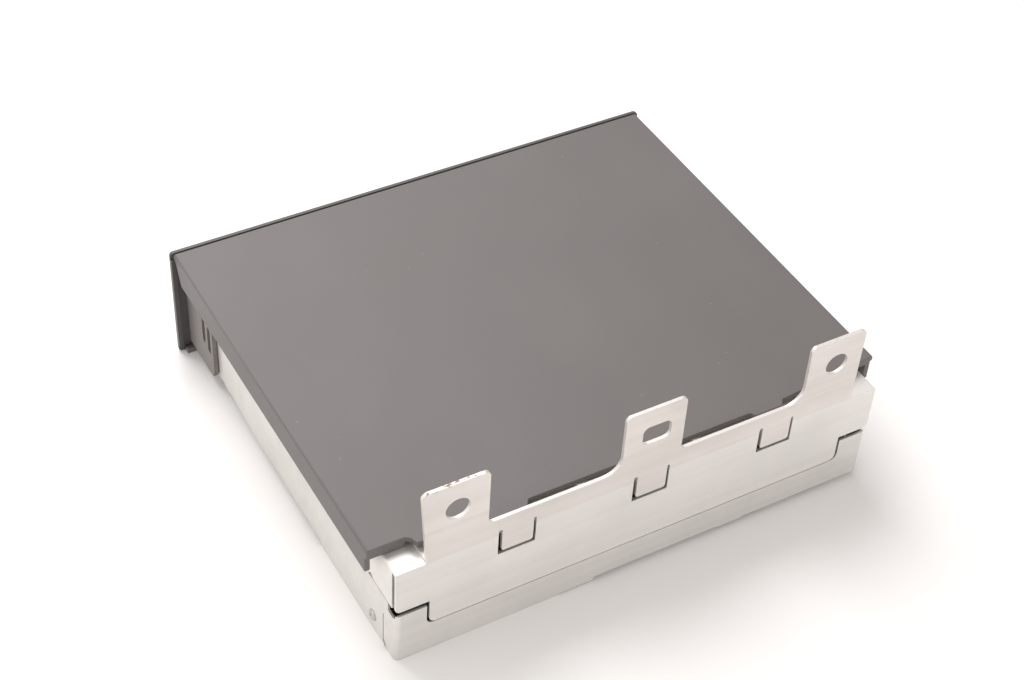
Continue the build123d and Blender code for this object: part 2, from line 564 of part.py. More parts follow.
with BuildPart() as front_bezel:
    block((-BEZEL_X, BEZEL_X), (BEZEL_FRONT, PLATE_BACK), (0, BEZEL_TOP))
    fillet(front_bezel.edges().filter_by(Axis.Y), radius=1.5)
    fillet(front_bezel.faces().sort_by(Axis.Y)[0].edges(), radius=1.2)
    # lips behind the side and bottom edges; the cover closes the top
    for x in both((BEZEL_X - SIDE_LIP, BEZEL_X)):
        block(x, (PLATE_BACK, PLATE_BACK + SIDE_LIP_DEPTH), (2.4, COVER_UNDER - 0.1))
    block((-BEZEL_X + 2.4, BEZEL_X - 2.4), (PLATE_BACK, PLATE_BACK + BOTTOM_LIP_DEPTH), (0, BEZEL_LIP))
    # disc mouth, flared at the face, and the ears of the shutter's pins
    mouth_z = (MOUTH_Z - MOUTH_HEIGHT / 2, MOUTH_Z + MOUTH_HEIGHT / 2)
    half = MOUTH_WIDTH / 2
    block((-half, half), (BEZEL_FRONT - 1, PLATE_BACK + 1), mouth_z, Mode.SUBTRACT)
    chamfer(front_bezel.faces().sort_by(Axis.Y)[0].inner_wires().edges(), length=1.1)
    for side in (1, -1):
        ear = sorted((side * (SHUTTER_END + 0.4), side * (PIN_END + 0.9)))
        block(ear, (PLATE_BACK, SHUTTER_Y + 1.9), (SHUTTER_Z - 2.0, SHUTTER_Z + 2.0))
        bar(SHUTTER_PIN + RUN_FIT, SHUTTER_Y, SHUTTER_Z,
            (side * (SHUTTER_END + 0.3), side * PIN_END + side * 0.1), Mode.SUBTRACT)
    for x, z, width, height in NUMBER_KEYS + END_KEYS:
        block((x - width / 2 - KEY_GAP, x + width / 2 + KEY_GAP), (BEZEL_FRONT - 1, PLATE_BACK + 1),
              (z - height / 2 - KEY_GAP, z + height / 2 + KEY_GAP), Mode.SUBTRACT)
    for x in NUMBER_KEY_X:
        block((x - LIGHT_WIDTH / 2, x + LIGHT_WIDTH / 2), (BEZEL_FRONT - 1, PLATE_BACK + 1),
              (LIGHT_Z - LIGHT_HEIGHT / 2, LIGHT_Z + LIGHT_HEIGHT / 2), Mode.SUBTRACT)
    # spring clips that run back along the case, each with two windows
    for x in both(CLIP_X):
        with BuildSketch(Plane.YZ.offset(x[0])) as clip:
            with BuildLine():
                Polyline((PLATE_BACK - 1, CLIP_Z[0]), (BEZEL_REAR + CLIP_LENGTH, CLIP_Z[0]),
                         (BEZEL_REAR + CLIP_LENGTH + 1.2, CLIP_Z[0] + 3), (BEZEL_REAR + CLIP_LENGTH + 1.2, 26),
                         (BEZEL_REAR + CLIP_LENGTH - 3, CLIP_Z[1]), (PLATE_BACK - 1, CLIP_Z[1]), close=True)
            make_face()
            with Locations((BEZEL_REAR + 10.6, 22.0), (BEZEL_REAR + 15.2, 20.5)):
                SlotOverall(12.0, 2.6, rotation=90, mode=Mode.SUBTRACT)
        extrude(clip.sketch, amount=CLIP_THICK)
    # nibs that bear on the case
    for x in both((WALL_X, CLIP_X[0])):
        for z in ((7.0, 11.0), (28.0, 32.0)):
            block(x, (BEZEL_REAR + CLIP_LENGTH - 3, BEZEL_REAR + CLIP_LENGTH - 1), z)
save(front_bezel, "front_bezel")

with BuildPart() as slot_shutter:
    block((-SHUTTER_END, SHUTTER_END), (SHUTTER_Y - SHUTTER_THICK / 2, SHUTTER_Y + SHUTTER_THICK / 2),
          (SHUTTER_Z - SHUTTER_DROP, SHUTTER_Z))
    bar(SHUTTER_PIN, SHUTTER_Y, SHUTTER_Z, (-PIN_END, PIN_END))
save(slot_shutter, "slot_shutter")

KEY_FLANGE = 0.6
KEY_BACK = PLATE_BACK + 0.1 + KEY_FLANGE


def key(x, z, width, height):
    """A key cap in its window, with a flange behind the bezel that keeps it in."""
    block((x - width / 2, x + width / 2), (-REAR, PLATE_BACK + 0.1), (z - height / 2, z + height / 2))
    half_width, half_height = width / 2 + 1, height / 2 + 1
    block((x - half_width, x + half_width), (PLATE_BACK + 0.1, KEY_BACK), (z - half_height, z + half_height))


KEY_NAMES = [f"key_{k + 1}" for k in range(KEYS)] + ["load_key", "eject_key"]
for name, place in zip(KEY_NAMES, NUMBER_KEYS + END_KEYS):
    with BuildPart() as key_cap:
        key(*place)
        fillet(key_cap.faces().sort_by(Axis.Y)[0].edges(), radius=0.5)
    save(key_cap, name)

BOARD_BACK = CASE_FRONT - 1.0
BOARD_FRONT = BOARD_BACK - BOARD
SWITCH_HALF = 3.0
PLUNGER = 0.4

with BuildPart() as front_board:
    block((-88.0, 88.0), (BOARD_FRONT, BOARD_BACK), (BEZEL_LIP + 0.6, 20.4))
    for x in both((SHUTTER_END + 4.4, 88.0)):
        block(x, (BOARD_FRONT, BOARD_BACK), (15.0, 36.0))
save(front_board, "front_board")

with BuildPart() as key_switches:
    for x, z, *_ in NUMBER_KEYS + END_KEYS:
        body_front = KEY_BACK + KEY_TRAVEL + RUN_FIT + PLUNGER
        block((x - SWITCH_HALF, x + SWITCH_HALF), (body_front, BOARD_FRONT), (z - SWITCH_HALF, z + SWITCH_HALF))
        rod(1.7, (x, body_front - PLUNGER, z), (x, body_front, z))
save(key_switches, "key_switches")

with BuildPart() as status_lights:
    for x in NUMBER_KEY_X:
        block((x - LIGHT_WIDTH / 2 + 0.1, x + LIGHT_WIDTH / 2 - 0.1), (BEZEL_FRONT + 0.2, BOARD_FRONT),
              (LIGHT_Z - LIGHT_HEIGHT / 2 + 0.1, LIGHT_Z + LIGHT_HEIGHT / 2 - 0.1))
save(status_lights, "status_lights")

# ---------------------------------------------------------------- mechanism frame and its suspension
FRAME_Y = (back(FRAME_FRONT), back(FRAME_REAR))
STEP_Y = back(FRAME_STEP)
EAR_HALF = 6.5
EAR_END = 86.5
BUSH = 2.2  # outer radius
BUSH_FLANGE = 3.0
ROLLER_Z = LOAD_Z - ROLLER - 0.1
ROLLER_Y = back(ROLLER_BACK)
LIFT_Y = back(LIFT_SHAFT_BACK)
PIVOT_Y = back(PIVOT_BACK)
POST = 2.0
LEFT_POSTS = (104.0, 148.0)
RIGHT_POSTS = (132.0, 148.0)
POST_Z = 10.8
DAMPERS = [(side * DAMPER_X, back(place)) for side in (1, -1) for place in DAMPER_BACK]


def floor_under(x, y):
    """Inside height of the pan at (x, y)."""
    on_pad = x > PAD_X[0] and y > back(PAD_LENGTH)
    return SHEET + (0.0 if on_pad else pan_under(y))


with BuildPart() as mechanism_frame:
    block((-FRAME_HALF, FRAME_HALF), (STEP_Y, FRAME_Y[1]), (FRAME_FLOOR, FRAME_FLOOR + FRAME_SHEET))
    block((-FRAME_HALF, FRAME_HALF), (FRAME_Y[0], STEP_Y + FRAME_SHEET), (FRONT_FLOOR, FRONT_FLOOR + FRAME_SHEET))
    block((-FRAME_HALF, FRAME_HALF), (STEP_Y, STEP_Y + FRAME_SHEET), (FRAME_FLOOR, FRONT_FLOOR))
    for x in both((FRAME_IN, FRAME_HALF)):
        block(x, (FRAME_Y[0], STEP_Y), (FRONT_FLOOR, FRAME_TOP))
        block(x, (STEP_Y, FRAME_Y[1]), (FRAME_FLOOR, FRAME_TOP))
    block((-FRAME_HALF, FRAME_HALF), (back(14.0), FRAME_Y[1]), (FRAME_TOP - FRAME_SHEET, FRAME_TOP))
    # upright guide slots for the carriage, and holes for bushes and posts
    for x in both((FRAME_IN - 1, FRAME_HALF + 1)):
        for place in CAM_PINS_BACK:
            slot_x((back(place), back(place)), (CAM_PIN_Z - 0.3, CAM_PIN_Z + LIFT + 0.3),
                   2 * (CAM_PIN + RUN_FIT), x)
        bar(BUSH, LIFT_Y, LIFT_SHAFT_Z, x, Mode.SUBTRACT)
        bar(BUSH, ROLLER_Y, ROLLER_Z, x, Mode.SUBTRACT)
    # studs that carry the cam slides, with heads outside them
    for x in both((FRAME_HALF - 0.1, CAM_OUT + 0.3)):
        for place in STUD_BACK:
            bar(STUD, back(place), STUD_Z, x)
    for x in both((CAM_OUT + 0.3, CAM_OUT + 1.1)):
        for place in STUD_BACK:
            bar(2.1, back(place), STUD_Z, x)
    # raised ears on the rubber mounts
    for x, y in DAMPERS:
        side = 1 if x > 0 else -1
        block(sorted((side * FRAME_IN, side * EAR_END)), (y - EAR_HALF, y + EAR_HALF), (EAR_Z, EAR_Z + EAR_THICK))
        rod(2.0, (x, y, EAR_Z - 1), (x, y, EAR_Z + 2), Mode.SUBTRACT)
    # pivot of the playback arm
    rod(4.4, (PIVOT_X, PIVOT_Y, FRAME_FLOOR), (PIVOT_X, PIVOT_Y, ARM_Z - 0.1))
    rod(PIVOT_PIN, (PIVOT_X, PIVOT_Y, FRAME_FLOOR), (PIVOT_X, PIVOT_Y, TURNTABLE_TOP - 0.4))
save(mechanism_frame, "mechanism_frame")

with BuildPart() as shaft_bushes:
    for y, z, radius in ((LIFT_Y, LIFT_SHAFT_Z, SHAFT), (ROLLER_Y, ROLLER_Z, ROLLER_SHAFT)):
        for side in (1, -1):
            inner = side * (FRAME_IN - 0.8)
            bar(BUSH, y, z, (inner, side * FRAME_HALF))
            bar(BUSH_FLANGE, y, z, (inner, side * FRAME_IN))
            bar(radius + RUN_FIT, y, z, (inner - side, side * (FRAME_HALF + 1)), Mode.SUBTRACT)
save(shaft_bushes, "shaft_bushes")

with BuildPart() as rubber_mounts:
    for x, y in DAMPERS:
        floor = floor_under(x, y)
        rod(DAMPER_RADIUS - 1.0, (x, y, floor), (x, y, EAR_Z))
        rod(DAMPER_RADIUS, (x, y, floor), (x, y, floor + 1.6))
        rod(DAMPER_RADIUS, (x, y, EAR_Z - 1.6), (x, y, EAR_Z))
        rod(1.9, (x, y, EAR_Z), (x, y, EAR_Z + EAR_THICK))
        rod(2.6, (x, y, EAR_Z + EAR_THICK), (x, y, EAR_Z + EAR_THICK + 1.2))
save(rubber_mounts, "rubber_mounts")

with BuildPart() as suspension_springs:
    for x, y in DAMPERS:
        bottom = floor_under(x, y) + SPRING_WIRE / 2 + 0.05
        height = EAR_Z - 0.05 - SPRING_WIRE / 2 - bottom
        with BuildLine() as coil:
            Helix(height / SPRING_TURNS, height, SPRING_RADIUS, center=(x, y, bottom))
        with BuildSketch(Plane(origin=coil.line @ 0, z_dir=coil.line % 0)) as wire:
            Circle(SPRING_WIRE / 2)
        sweep(wire.sketch, path=coil.line)
save(suspension_springs, "suspension_springs")

GUIDE_Z = LOAD_Z + DISC_THICK + 0.8
GUIDE_Y = (back(154.0), back(146.6))

with BuildPart() as disc_guide:
    block((-FRAME_IN, FRAME_IN), GUIDE_Y, (GUIDE_Z, GUIDE_Z + 1.6))
    for x in (-50.0, -25.0, 0.0, 25.0, 50.0):
        block((x - 0.8, x + 0.8), GUIDE_Y, (GUIDE_Z + 1.6, GUIDE_Z + 3.4))
    chamfer(disc_guide.faces().sort_by(Axis.Z)[0].edges().filter_by(Axis.X), length=0.7)
save(disc_guide, "disc_guide")

# ---------------------------------------------------------------- gear trains of the loading and lift drives
BIG_IN = GEAR_IN + GEAR_WIDTH + GEAR_SPACE
BIG_OUT = BIG_IN + BIG_WIDTH
MOTOR_IN = GEAR_PLATE + FRAME_SHEET
MOTOR_SHAFT = 0.8
COLLAR = 1.7

LIFT_CENTRE = (LIFT_Y, LIFT_SHAFT_Z)
LIFT_IDLER = beside(LIFT_CENTRE, LIFT_TEETH, IDLER_SMALL, 130)
LIFT_MOTOR = beside(LIFT_IDLER, IDLER_BIG, MOTOR_TEETH, 170)
ROLLER_CENTRE = (ROLLER_Y, ROLLER_Z)
ROLLER_IDLER = beside(ROLLER_CENTRE, ROLLER_TEETH, IDLER_SMALL, 20)
LOADING_MOTOR = beside(ROLLER_IDLER, IDLER_BIG, MOTOR_TEETH, 0)


def gear_plate(side, y, z, posts, idler, motor):
    """Plate outside a gear train: posts to the frame, the idler's pin, and a hole for the motor's shaft."""
    block(sorted((side * GEAR_PLATE, side * MOTOR_IN)), y, z)
    for place in posts:
        bar(POST, back(place), POST_Z, (side * FRAME_HALF, side * GEAR_PLATE))
    bar(IDLER_PIN, *idler, (side * (GEAR_IN - 0.7), side * GEAR_PLATE))
    bar(COLLAR, *idler, (side * (GEAR_IN - 0.7), side * (GEAR_IN - 0.2)))
    bar(MOTOR_SHAFT + 0.4, *motor, (side * (GEAR_PLATE - 1), side * (MOTOR_IN + 1)), Mode.SUBTRACT)


def idler_gear(side, centre, first):
    """Two gears in one piece on the idler's pin, with a tooth of the small one at the angle first."""
    gear(IDLER_SMALL, MODULE, centre, (side * GEAR_IN, side * BIG_IN), first)
    gear(IDLER_BIG, MODULE, centre, (side * BIG_IN, side * BIG_OUT), first)
    bar(IDLER_PIN + RUN_FIT, *centre, (side * (GEAR_IN - 1), side * (BIG_OUT + 1)), Mode.SUBTRACT)


def motor_pinion(side, centre, first):
    """Pinion on the end of a motor's shaft."""
    gear(MOTOR_TEETH, MODULE, centre, (side * BIG_IN, side * BIG_OUT), first)
    bar(MOTOR_SHAFT, *centre, (side * BIG_IN, side * (MOTOR_IN + 1.0)))


def flat_motor(side, centre):
    """Flat motor on the outside of a gear plate."""
    bar(MOTOR_RADIUS, *centre, (side * MOTOR_IN, side * (MOTOR_IN + MOTOR_LENGTH)))
    bar(MOTOR_SHAFT + RUN_FIT, *centre, (side * (MOTOR_IN - 1), side * (MOTOR_IN + 1.2)), Mode.SUBTRACT)


with BuildPart() as left_gear_plate:
    gear_plate(1, (back(150.0), back(100.0)), (7.0, 30.0), LEFT_POSTS, LIFT_IDLER, LIFT_MOTOR)
save(left_gear_plate, "left_gear_plate")

with BuildPart() as right_gear_plate:
    gear_plate(-1, (back(153.0), back(118.0)), (8.0, 36.0), RIGHT_POSTS, ROLLER_IDLER, LOADING_MOTOR)
save(right_gear_plate, "right_gear_plate")

with BuildPart() as lift_motor:
    flat_motor(1, LIFT_MOTOR)
save(lift_motor, "lift_motor")

with BuildPart() as loading_motor:
    flat_motor(-1, LOADING_MOTOR)
save(loading_motor, "loading_motor")

SHAFT_END = BIG_IN - 0.2
lift_idler_first = meshed(0, LIFT_TEETH, LIFT_CENTRE, IDLER_SMALL, LIFT_IDLER)
roller_idler_first = meshed(0, ROLLER_TEETH, ROLLER_CENTRE, IDLER_SMALL, ROLLER_IDLER)

with BuildPart() as lift_idler:
    idler_gear(1, LIFT_IDLER, lift_idler_first)
save(lift_idler, "lift_idler")

with BuildPart() as lift_motor_pinion:
    motor_pinion(1, LIFT_MOTOR, meshed(lift_idler_first, IDLER_BIG, LIFT_IDLER, MOTOR_TEETH, LIFT_MOTOR))
save(lift_motor_pinion, "lift_motor_pinion")

with BuildPart() as roller_idler:
    idler_gear(-1, ROLLER_IDLER, roller_idler_first)
save(roller_idler, "roller_idler")

with BuildPart() as loading_pinion:
    motor_pinion(-1, LOADING_MOTOR, meshed(roller_idler_first, IDLER_BIG, ROLLER_IDLER, MOTOR_TEETH, LOADING_MOTOR))
save(loading_pinion, "loading_pinion")

ROLLER_WAIST = 2.7

with BuildPart() as loading_roller:
    with BuildSketch(Plane.XY) as half_section:
        with BuildLine():
            Polyline((-ROLLER_HALF, 0), (-ROLLER_HALF, ROLLER), (0, ROLLER_WAIST), (ROLLER_HALF, ROLLER),
                     (ROLLER_HALF, 0), close=True)
        make_face()
    revolve(axis=Axis.X)
    bar(ROLLER_SHAFT, 0, 0, (-ROLLER_HALF - 1, ROLLER_HALF + 1), Mode.SUBTRACT)
save(loading_roller, "loading_roller", Location((0, ROLLER_Y, ROLLER_Z)))

with BuildPart() as roller_shaft:
    bar(ROLLER_SHAFT, ROLLER_Y, ROLLER_Z, (-SHAFT_END, FRAME_HALF + 0.3))
save(roller_shaft, "roller_shaft")

with BuildPart() as roller_gear:
    gear(ROLLER_TEETH, MODULE, ROLLER_CENTRE, (-GEAR_IN, -GEAR_IN - GEAR_WIDTH), 0)
    bar(ROLLER_SHAFT, ROLLER_Y, ROLLER_Z, (-GEAR_IN + 1, -BIG_OUT), Mode.SUBTRACT)
save(roller_gear, "roller_gear")

PINION_IN = FRAME_HALF + 0.3
PINION_WIDTH = 2.4
RACK_Z = LIFT_SHAFT_Z + PINION_TEETH * RACK_MODULE / 2 + 0.05
RACK_STEP = pi * RACK_MODULE

with BuildPart() as lift_shaft:
    bar(SHAFT, LIFT_Y, LIFT_SHAFT_Z, (-PINION_IN - PINION_WIDTH - 0.5, SHAFT_END))
save(lift_shaft, "lift_shaft")

with BuildPart() as lift_gears:
    for side in (1, -1):
        gear(PINION_TEETH, RACK_MODULE, LIFT_CENTRE, (side * PINION_IN, side * (PINION_IN + PINION_WIDTH)), pi / 2)
    gear(LIFT_TEETH, MODULE, LIFT_CENTRE, (GEAR_IN, GEAR_IN + GEAR_WIDTH), 0)
    bar(SHAFT, LIFT_Y, LIFT_SHAFT_Z, (-GEAR_IN - 1, BIG_OUT), Mode.SUBTRACT)
save(lift_gears, "lift_gears")

# ---------------------------------------------------------------- cam slides, carriage and trays
SLIDE_BOTTOM = RACK_Z + 1.2 * RACK_MODULE
BAR_TOP = 19.5
RACK_TEETH = 15


def cam_slide(x):
    """A cam slide in the plane between the two values of x: rack below, two cam slots, two stud slots."""
    block(x, (back(112.0), back(11.5)), (SLIDE_BOTTOM, CAM_TOP))
    block(x, (back(121.0), back(111.0)), (SLIDE_BOTTOM, BAR_TOP))
    half = RACK_STEP / 4 - SLACK / 2
    tip = half - 0.8 * RACK_MODULE * tan(PRESSURE)
    root = half + 1.2 * RACK_MODULE * tan(PRESSURE)
    with BuildSketch(Plane.YZ.offset(x[0])) as teeth:
        for k in range(RACK_TEETH):
            y = LIFT_Y + (k - 0.5) * RACK_STEP
            with BuildLine():
                Polyline((y - root, SLIDE_BOTTOM), (y - tip, RACK_Z - 0.8 * RACK_MODULE),
                         (y + tip, RACK_Z - 0.8 * RACK_MODULE), (y + root, SLIDE_BOTTOM),
                         (y + root, SLIDE_BOTTOM + 0.4), (y - root, SLIDE_BOTTOM + 0.4), close=True)
            make_face()
    extrude(teeth.sketch, amount=CAM_PLATE)
    through = (x[0] - 1, x[1] + 1)
    for place in CAM_PINS_BACK:
        slot_x((back(place), back(place) + SLIDE_TRAVEL), (CAM_PIN_Z, CAM_PIN_Z + LIFT),
               2 * (CAM_PIN + RUN_FIT), through)
    for place in STUD_BACK:
        slot_x((back(place), back(place) + SLIDE_TRAVEL), (STUD_Z, STUD_Z), 2 * (STUD + RUN_FIT), through)


for name, x in zip(("cam_slide_left", "cam_slide_right"), both((CAM_IN, CAM_OUT))):
    with BuildPart() as slide:
        cam_slide(x)
    save(slide, name)

CARRIAGE_X = (68.6, 69.8)
CARRIAGE_Y = (back(116.0), back(18.0))
CARRIAGE_Z = (13.2, 28.0)
PIN_TIP = CAM_OUT + 1.2

with BuildPart() as tray_carriage:
    for x in both(CARRIAGE_X):
        block(x, CARRIAGE_Y, CARRIAGE_Z)
    for side in (1, -1):
        for place in CAM_PINS_BACK:
            bar(CAM_PIN, back(place), CAM_PIN_Z, (side * CARRIAGE_X[0], side * PIN_TIP))
    block((-CARRIAGE_X[1], CARRIAGE_X[1]), (CARRIAGE_Y[1] - 1.2, CARRIAGE_Y[1]), (14.0, 22.0))
    block((-CARRIAGE_X[1], CARRIAGE_X[1]), (CARRIAGE_Y[0], CARRIAGE_Y[0] + 4), (CARRIAGE_Z[0] - 1.8, CARRIAGE_Z[0]))
save(tray_carriage, "tray_carriage")

TRAY_X = 64.5
TRAY_Y = (back(143.5), back(20.5))
DISC_RECESS = 0.4
HEAD_HALF = 17.0  # half the opening that the playback head passes through
HUB_OPENING = 24.0
PLAY_ANGLE = degrees(atan2(DISC_Y - PIVOT_Y, -PIVOT_X))

for number in range(TRAYS):
    top = LOAD_Z - number * TRAY_PITCH
    low = top - TRAY_THICK
    with BuildPart() as disc_tray:
        block((-TRAY_X, TRAY_X), TRAY_Y, (low, top))
        chamfer(disc_tray.edges().filter_by(Axis.Z).group_by(Axis.Y)[0], length=10.0)
        for x in both((TRAY_X, CARRIAGE_X[0])):
            for place in (36.0, 104.0):
                block(x, (back(place + 5), back(place - 5)), (low, top))
        rod(DISC / 2 + 0.4, (0, DISC_Y, top - DISC_RECESS), (0, DISC_Y, top + 1), Mode.SUBTRACT)
        block((-DISC / 2 - 0.4, DISC / 2 + 0.4), (TRAY_Y[0] - 1, DISC_Y), (top - DISC_RECESS, top + 1), Mode.SUBTRACT)
        rod(HUB_OPENING, (0, DISC_Y, low - 1), (0, DISC_Y, top + 1), Mode.SUBTRACT)
        with Locations(Location((0, DISC_Y, (low + top) / 2), (0, 0, PLAY_ANGLE + 180))):
            Box(DISC / 2, 2 * HEAD_HALF, 3 * TRAY_THICK, align=(Align.MIN, Align.CENTER, Align.CENTER),
                mode=Mode.SUBTRACT)
    save(disc_tray, f"disc_tray_{number + 1}")

# ---------------------------------------------------------------- playback arm
# Drawn with the spindle at the origin and the pivot out along +X, then put in its parked place.
ARM_LENGTH = hypot(PIVOT_X, DISC_Y - PIVOT_Y)
PARKED = PLAY_ANGLE + ARM_SWING
ARM_PLACE = Location(
    (PIVOT_X + ARM_LENGTH * cos(radians(PARKED)), PIVOT_Y + ARM_LENGTH * sin(radians(PARKED)), 0),
    (0, 0, PARKED + 180),
)
PLATE_TOP = ARM_Z + ARM_PLATE
HUB = 6.0
HUB_TOP = 11.0
RODS = (13.0, -9.0)
RODS_FROM = 12.6
RODS_TO = 72.0
SCREW_SIDE = -15.5
SLED_U = (16.5, 33.0)
SLED_V = (-18.0, 15.5)
SLED_Z = (6.4, 11.6)
MOTOR_U = (70.6, 80.6)
MOTOR_V = (-19.5, -11.5)
LENS = 2.6

with BuildPart() as player_arm:
    with BuildSketch(Plane.XY.offset(ARM_Z)) as plate:
        with BuildLine():
            Polyline((-17, -14), (-11, -20), (81, -20), (84, -7), (84, 7), (74, 18), (-11, 18), (-17, 12), close=True)
        make_face()
        fillet(plate.vertices(), radius=2.0)
        with Locations((42, 2)):
            RectangleRounded(44, 14, 3, mode=Mode.SUBTRACT)
    extrude(amount=ARM_PLATE)
    rod(HUB, (ARM_LENGTH, 0, ARM_Z), (ARM_LENGTH, 0, HUB_TOP))
    for v in RODS:
        block((RODS_FROM - 0.4, RODS_FROM + 2.2), (v - 2.5, v + 2.5), (PLATE_TOP, PLATE_TOP + 3.2))
        block((RODS_TO - 2.2, RODS_TO + 0.4), (v - 2.5, v + 2.5), (PLATE_TOP, PLATE_TOP + 3.2))
        rod(ROD, (RODS_FROM, v, ROD_Z), (RODS_TO, v, ROD_Z), Mode.SUBTRACT)
    block((RODS_FROM - 0.4, RODS_FROM + 2.2), (SCREW_SIDE - 2.4, SCREW_SIDE + 2.4), (PLATE_TOP, SCREW_Z + 2.2))
    rod(SCREW + RUN_FIT, (RODS_FROM, SCREW_SIDE, SCREW_Z), (RODS_FROM + 3, SCREW_SIDE, SCREW_Z), Mode.SUBTRACT)
    rod(PIVOT_PIN + RUN_FIT, (ARM_LENGTH, 0, ARM_Z - 1), (ARM_LENGTH, 0, HUB_TOP + 1), Mode.SUBTRACT)
save(player_arm, "player_arm", ARM_PLACE)

with BuildPart() as pivot_clip:
    rod(4.0, (PIVOT_X, PIVOT_Y, HUB_TOP + 0.1), (PIVOT_X, PIVOT_Y, HUB_TOP + 0.6))
    rod(PIVOT_PIN, (PIVOT_X, PIVOT_Y, HUB_TOP), (PIVOT_X, PIVOT_Y, HUB_TOP + 1), Mode.SUBTRACT)
    block((PIVOT_X - 1.0, PIVOT_X + 1.0), (PIVOT_Y - 5, PIVOT_Y), (HUB_TOP, HUB_TOP + 1), Mode.SUBTRACT)
save(pivot_clip, "pivot_clip")

with BuildPart() as spindle_motor:
    rod(SPINDLE_RADIUS, (0, 0, PLATE_TOP), (0, 0, PLATE_TOP + SPINDLE_HEIGHT))
    rod(1.0 + RUN_FIT, (0, 0, PLATE_TOP + 0.2), (0, 0, PLATE_TOP + SPINDLE_HEIGHT + 1), Mode.SUBTRACT)
    chamfer(spindle_motor.faces().sort_by(Axis.Z)[-1].outer_wire().edges(), length=0.6)
save(spindle_motor, "spindle_motor", ARM_PLACE)

TABLE_Z = PLATE_TOP + SPINDLE_HEIGHT + 0.2
TABLE_RIM = 1.4
CENTRING = 7.4

with BuildPart() as turntable:
    rod(1.0, (0, 0, PLATE_TOP + 0.3), (0, 0, TABLE_Z))
    rod(TURNTABLE, (0, 0, TABLE_Z), (0, 0, TABLE_Z + TABLE_RIM))
    rod(CENTRING, (0, 0, TABLE_Z + TABLE_RIM), (0, 0, TURNTABLE_TOP))
    chamfer(turntable.faces().sort_by(Axis.Z)[-1].edges(), length=0.8)
save(turntable, "turntable", ARM_PLACE)

with BuildPart() as guide_rods:
    for v in RODS:
        rod(ROD, (RODS_FROM, v, ROD_Z), (RODS_TO, v, ROD_Z))
save(guide_rods, "guide_rods", ARM_PLACE)

with BuildPart() as pickup_sled:
    block(SLED_U, SLED_V, SLED_Z)
    chamfer(pickup_sled.edges().filter_by(Axis.Z), length=1.5)
    for v in RODS:
        rod(ROD + RUN_FIT, (SLED_U[0] - 1, v, ROD_Z), (SLED_U[1] + 1, v, ROD_Z), Mode.SUBTRACT)
    rod(SCREW + 0.1, (SLED_U[0] - 1, SCREW_SIDE, SCREW_Z), (SLED_U[1] + 1, SCREW_SIDE, SCREW_Z), Mode.SUBTRACT)
    rod(LENS, (LENS_INNER, 0, SLED_Z[1] - 0.5), (LENS_INNER, 0, SLED_Z[1] + 1), Mode.SUBTRACT)
save(pickup_sled, "pickup_sled", ARM_PLACE)

with BuildPart() as pickup_lens:
    rod(LENS, (LENS_INNER, 0, SLED_Z[1] - 0.5), (LENS_INNER, 0, SLED_Z[1] + 0.3))
    fillet(pickup_lens.faces().sort_by(Axis.Z)[-1].edges(), radius=0.25)
save(pickup_lens, "pickup_lens", ARM_PLACE)

with BuildPart() as lead_screw:
    rod(SCREW, (RODS_FROM + 0.2, SCREW_SIDE, SCREW_Z), (MOTOR_U[0] + 1.0, SCREW_SIDE, SCREW_Z))
save(lead_screw, "lead_screw", ARM_PLACE)

with BuildPart() as sled_motor:
    block(MOTOR_U, MOTOR_V, (PLATE_TOP, PLATE_TOP + 6.0))
    chamfer(sled_motor.edges().filter_by(Axis.X), length=1.2)
    rod(SCREW + RUN_FIT, (MOTOR_U[0] - 1, SCREW_SIDE, SCREW_Z), (MOTOR_U[0] + 1.1, SCREW_SIDE, SCREW_Z), Mode.SUBTRACT)
save(sled_motor, "sled_motor", ARM_PLACE)

# ---------------------------------------------------------------- electronics beside the mechanism
BOARD_EDGE_X = 84.0  # outer face of the main board, and of the outer posts' middle
MAIN_X = (-BOARD_EDGE_X, -BOARD_EDGE_X + BOARD)
MAIN_Y = (back(98.0), back(8.0))
MAIN_Z = (11.5, 39.0)
WALL_INSIDE = -WALL_X + SHEET

with BuildPart() as main_board:
    block(MAIN_X, MAIN_Y, MAIN_Z)
save(main_board, "main_board")

with BuildPart() as board_posts:
    for x in (-BOARD_EDGE_X, -30.0, 30.0, BOARD_EDGE_X):
        rod(1.8, (x, BOARD_BACK, 8.0), (x, CASE_FRONT, 8.0))
    for place in (14.0, 92.0):
        bar(2.0, back(place), 17.0, (WALL_INSIDE, MAIN_X[0]))
save(board_posts, "board_posts")

# distance from the rear plane, middle height, length, height and thickness of the flat packages
CHIPS = (
    (84.0, 27.0, 16.0, 16.0, 2.0), (62.0, 29.0, 12.0, 8.0, 1.8), (40.0, 31.0, 14.0, 8.0, 1.8),
    (16.0, 30.0, 8.0, 10.0, 2.4),
)
CAPACITORS = ((70.0, 16.5), (58.0, 16.5), (28.0, 17.0))
HEADERS = ((90.0, 16.0), (16.0, 18.0))

with BuildPart() as board_components:
    for place, z, length, height, thick in CHIPS:
        block((MAIN_X[1], MAIN_X[1] + thick), (back(place + length / 2), back(place - length / 2)),
              (z - height / 2, z + height / 2))
    for place, z in CAPACITORS:
        bar(3.1, back(place), z, (MAIN_X[1], MAIN_X[1] + 6.0))
    for place, z in HEADERS:
        block((MAIN_X[1], MAIN_X[1] + 4.5), (back(place + 5), back(place - 5)), (z - 2.5, z + 2.5))
save(board_components, "board_components")

SOCKET_X = (-WALL_X - 0.8, MAIN_X[0])
SOCKET_Y = (back(PLUG_BACK[1]) + FIT_GAP, back(PLUG_BACK[0]) - FIT_GAP)
SOCKET_Z = (PLUG_Z[0] + FIT_GAP, PLUG_Z[1] - FIT_GAP)
SOCKET_WALL = 1.2
SOCKET_BACK = 1.5
PINS = 8
PIN_PITCH = 2.8

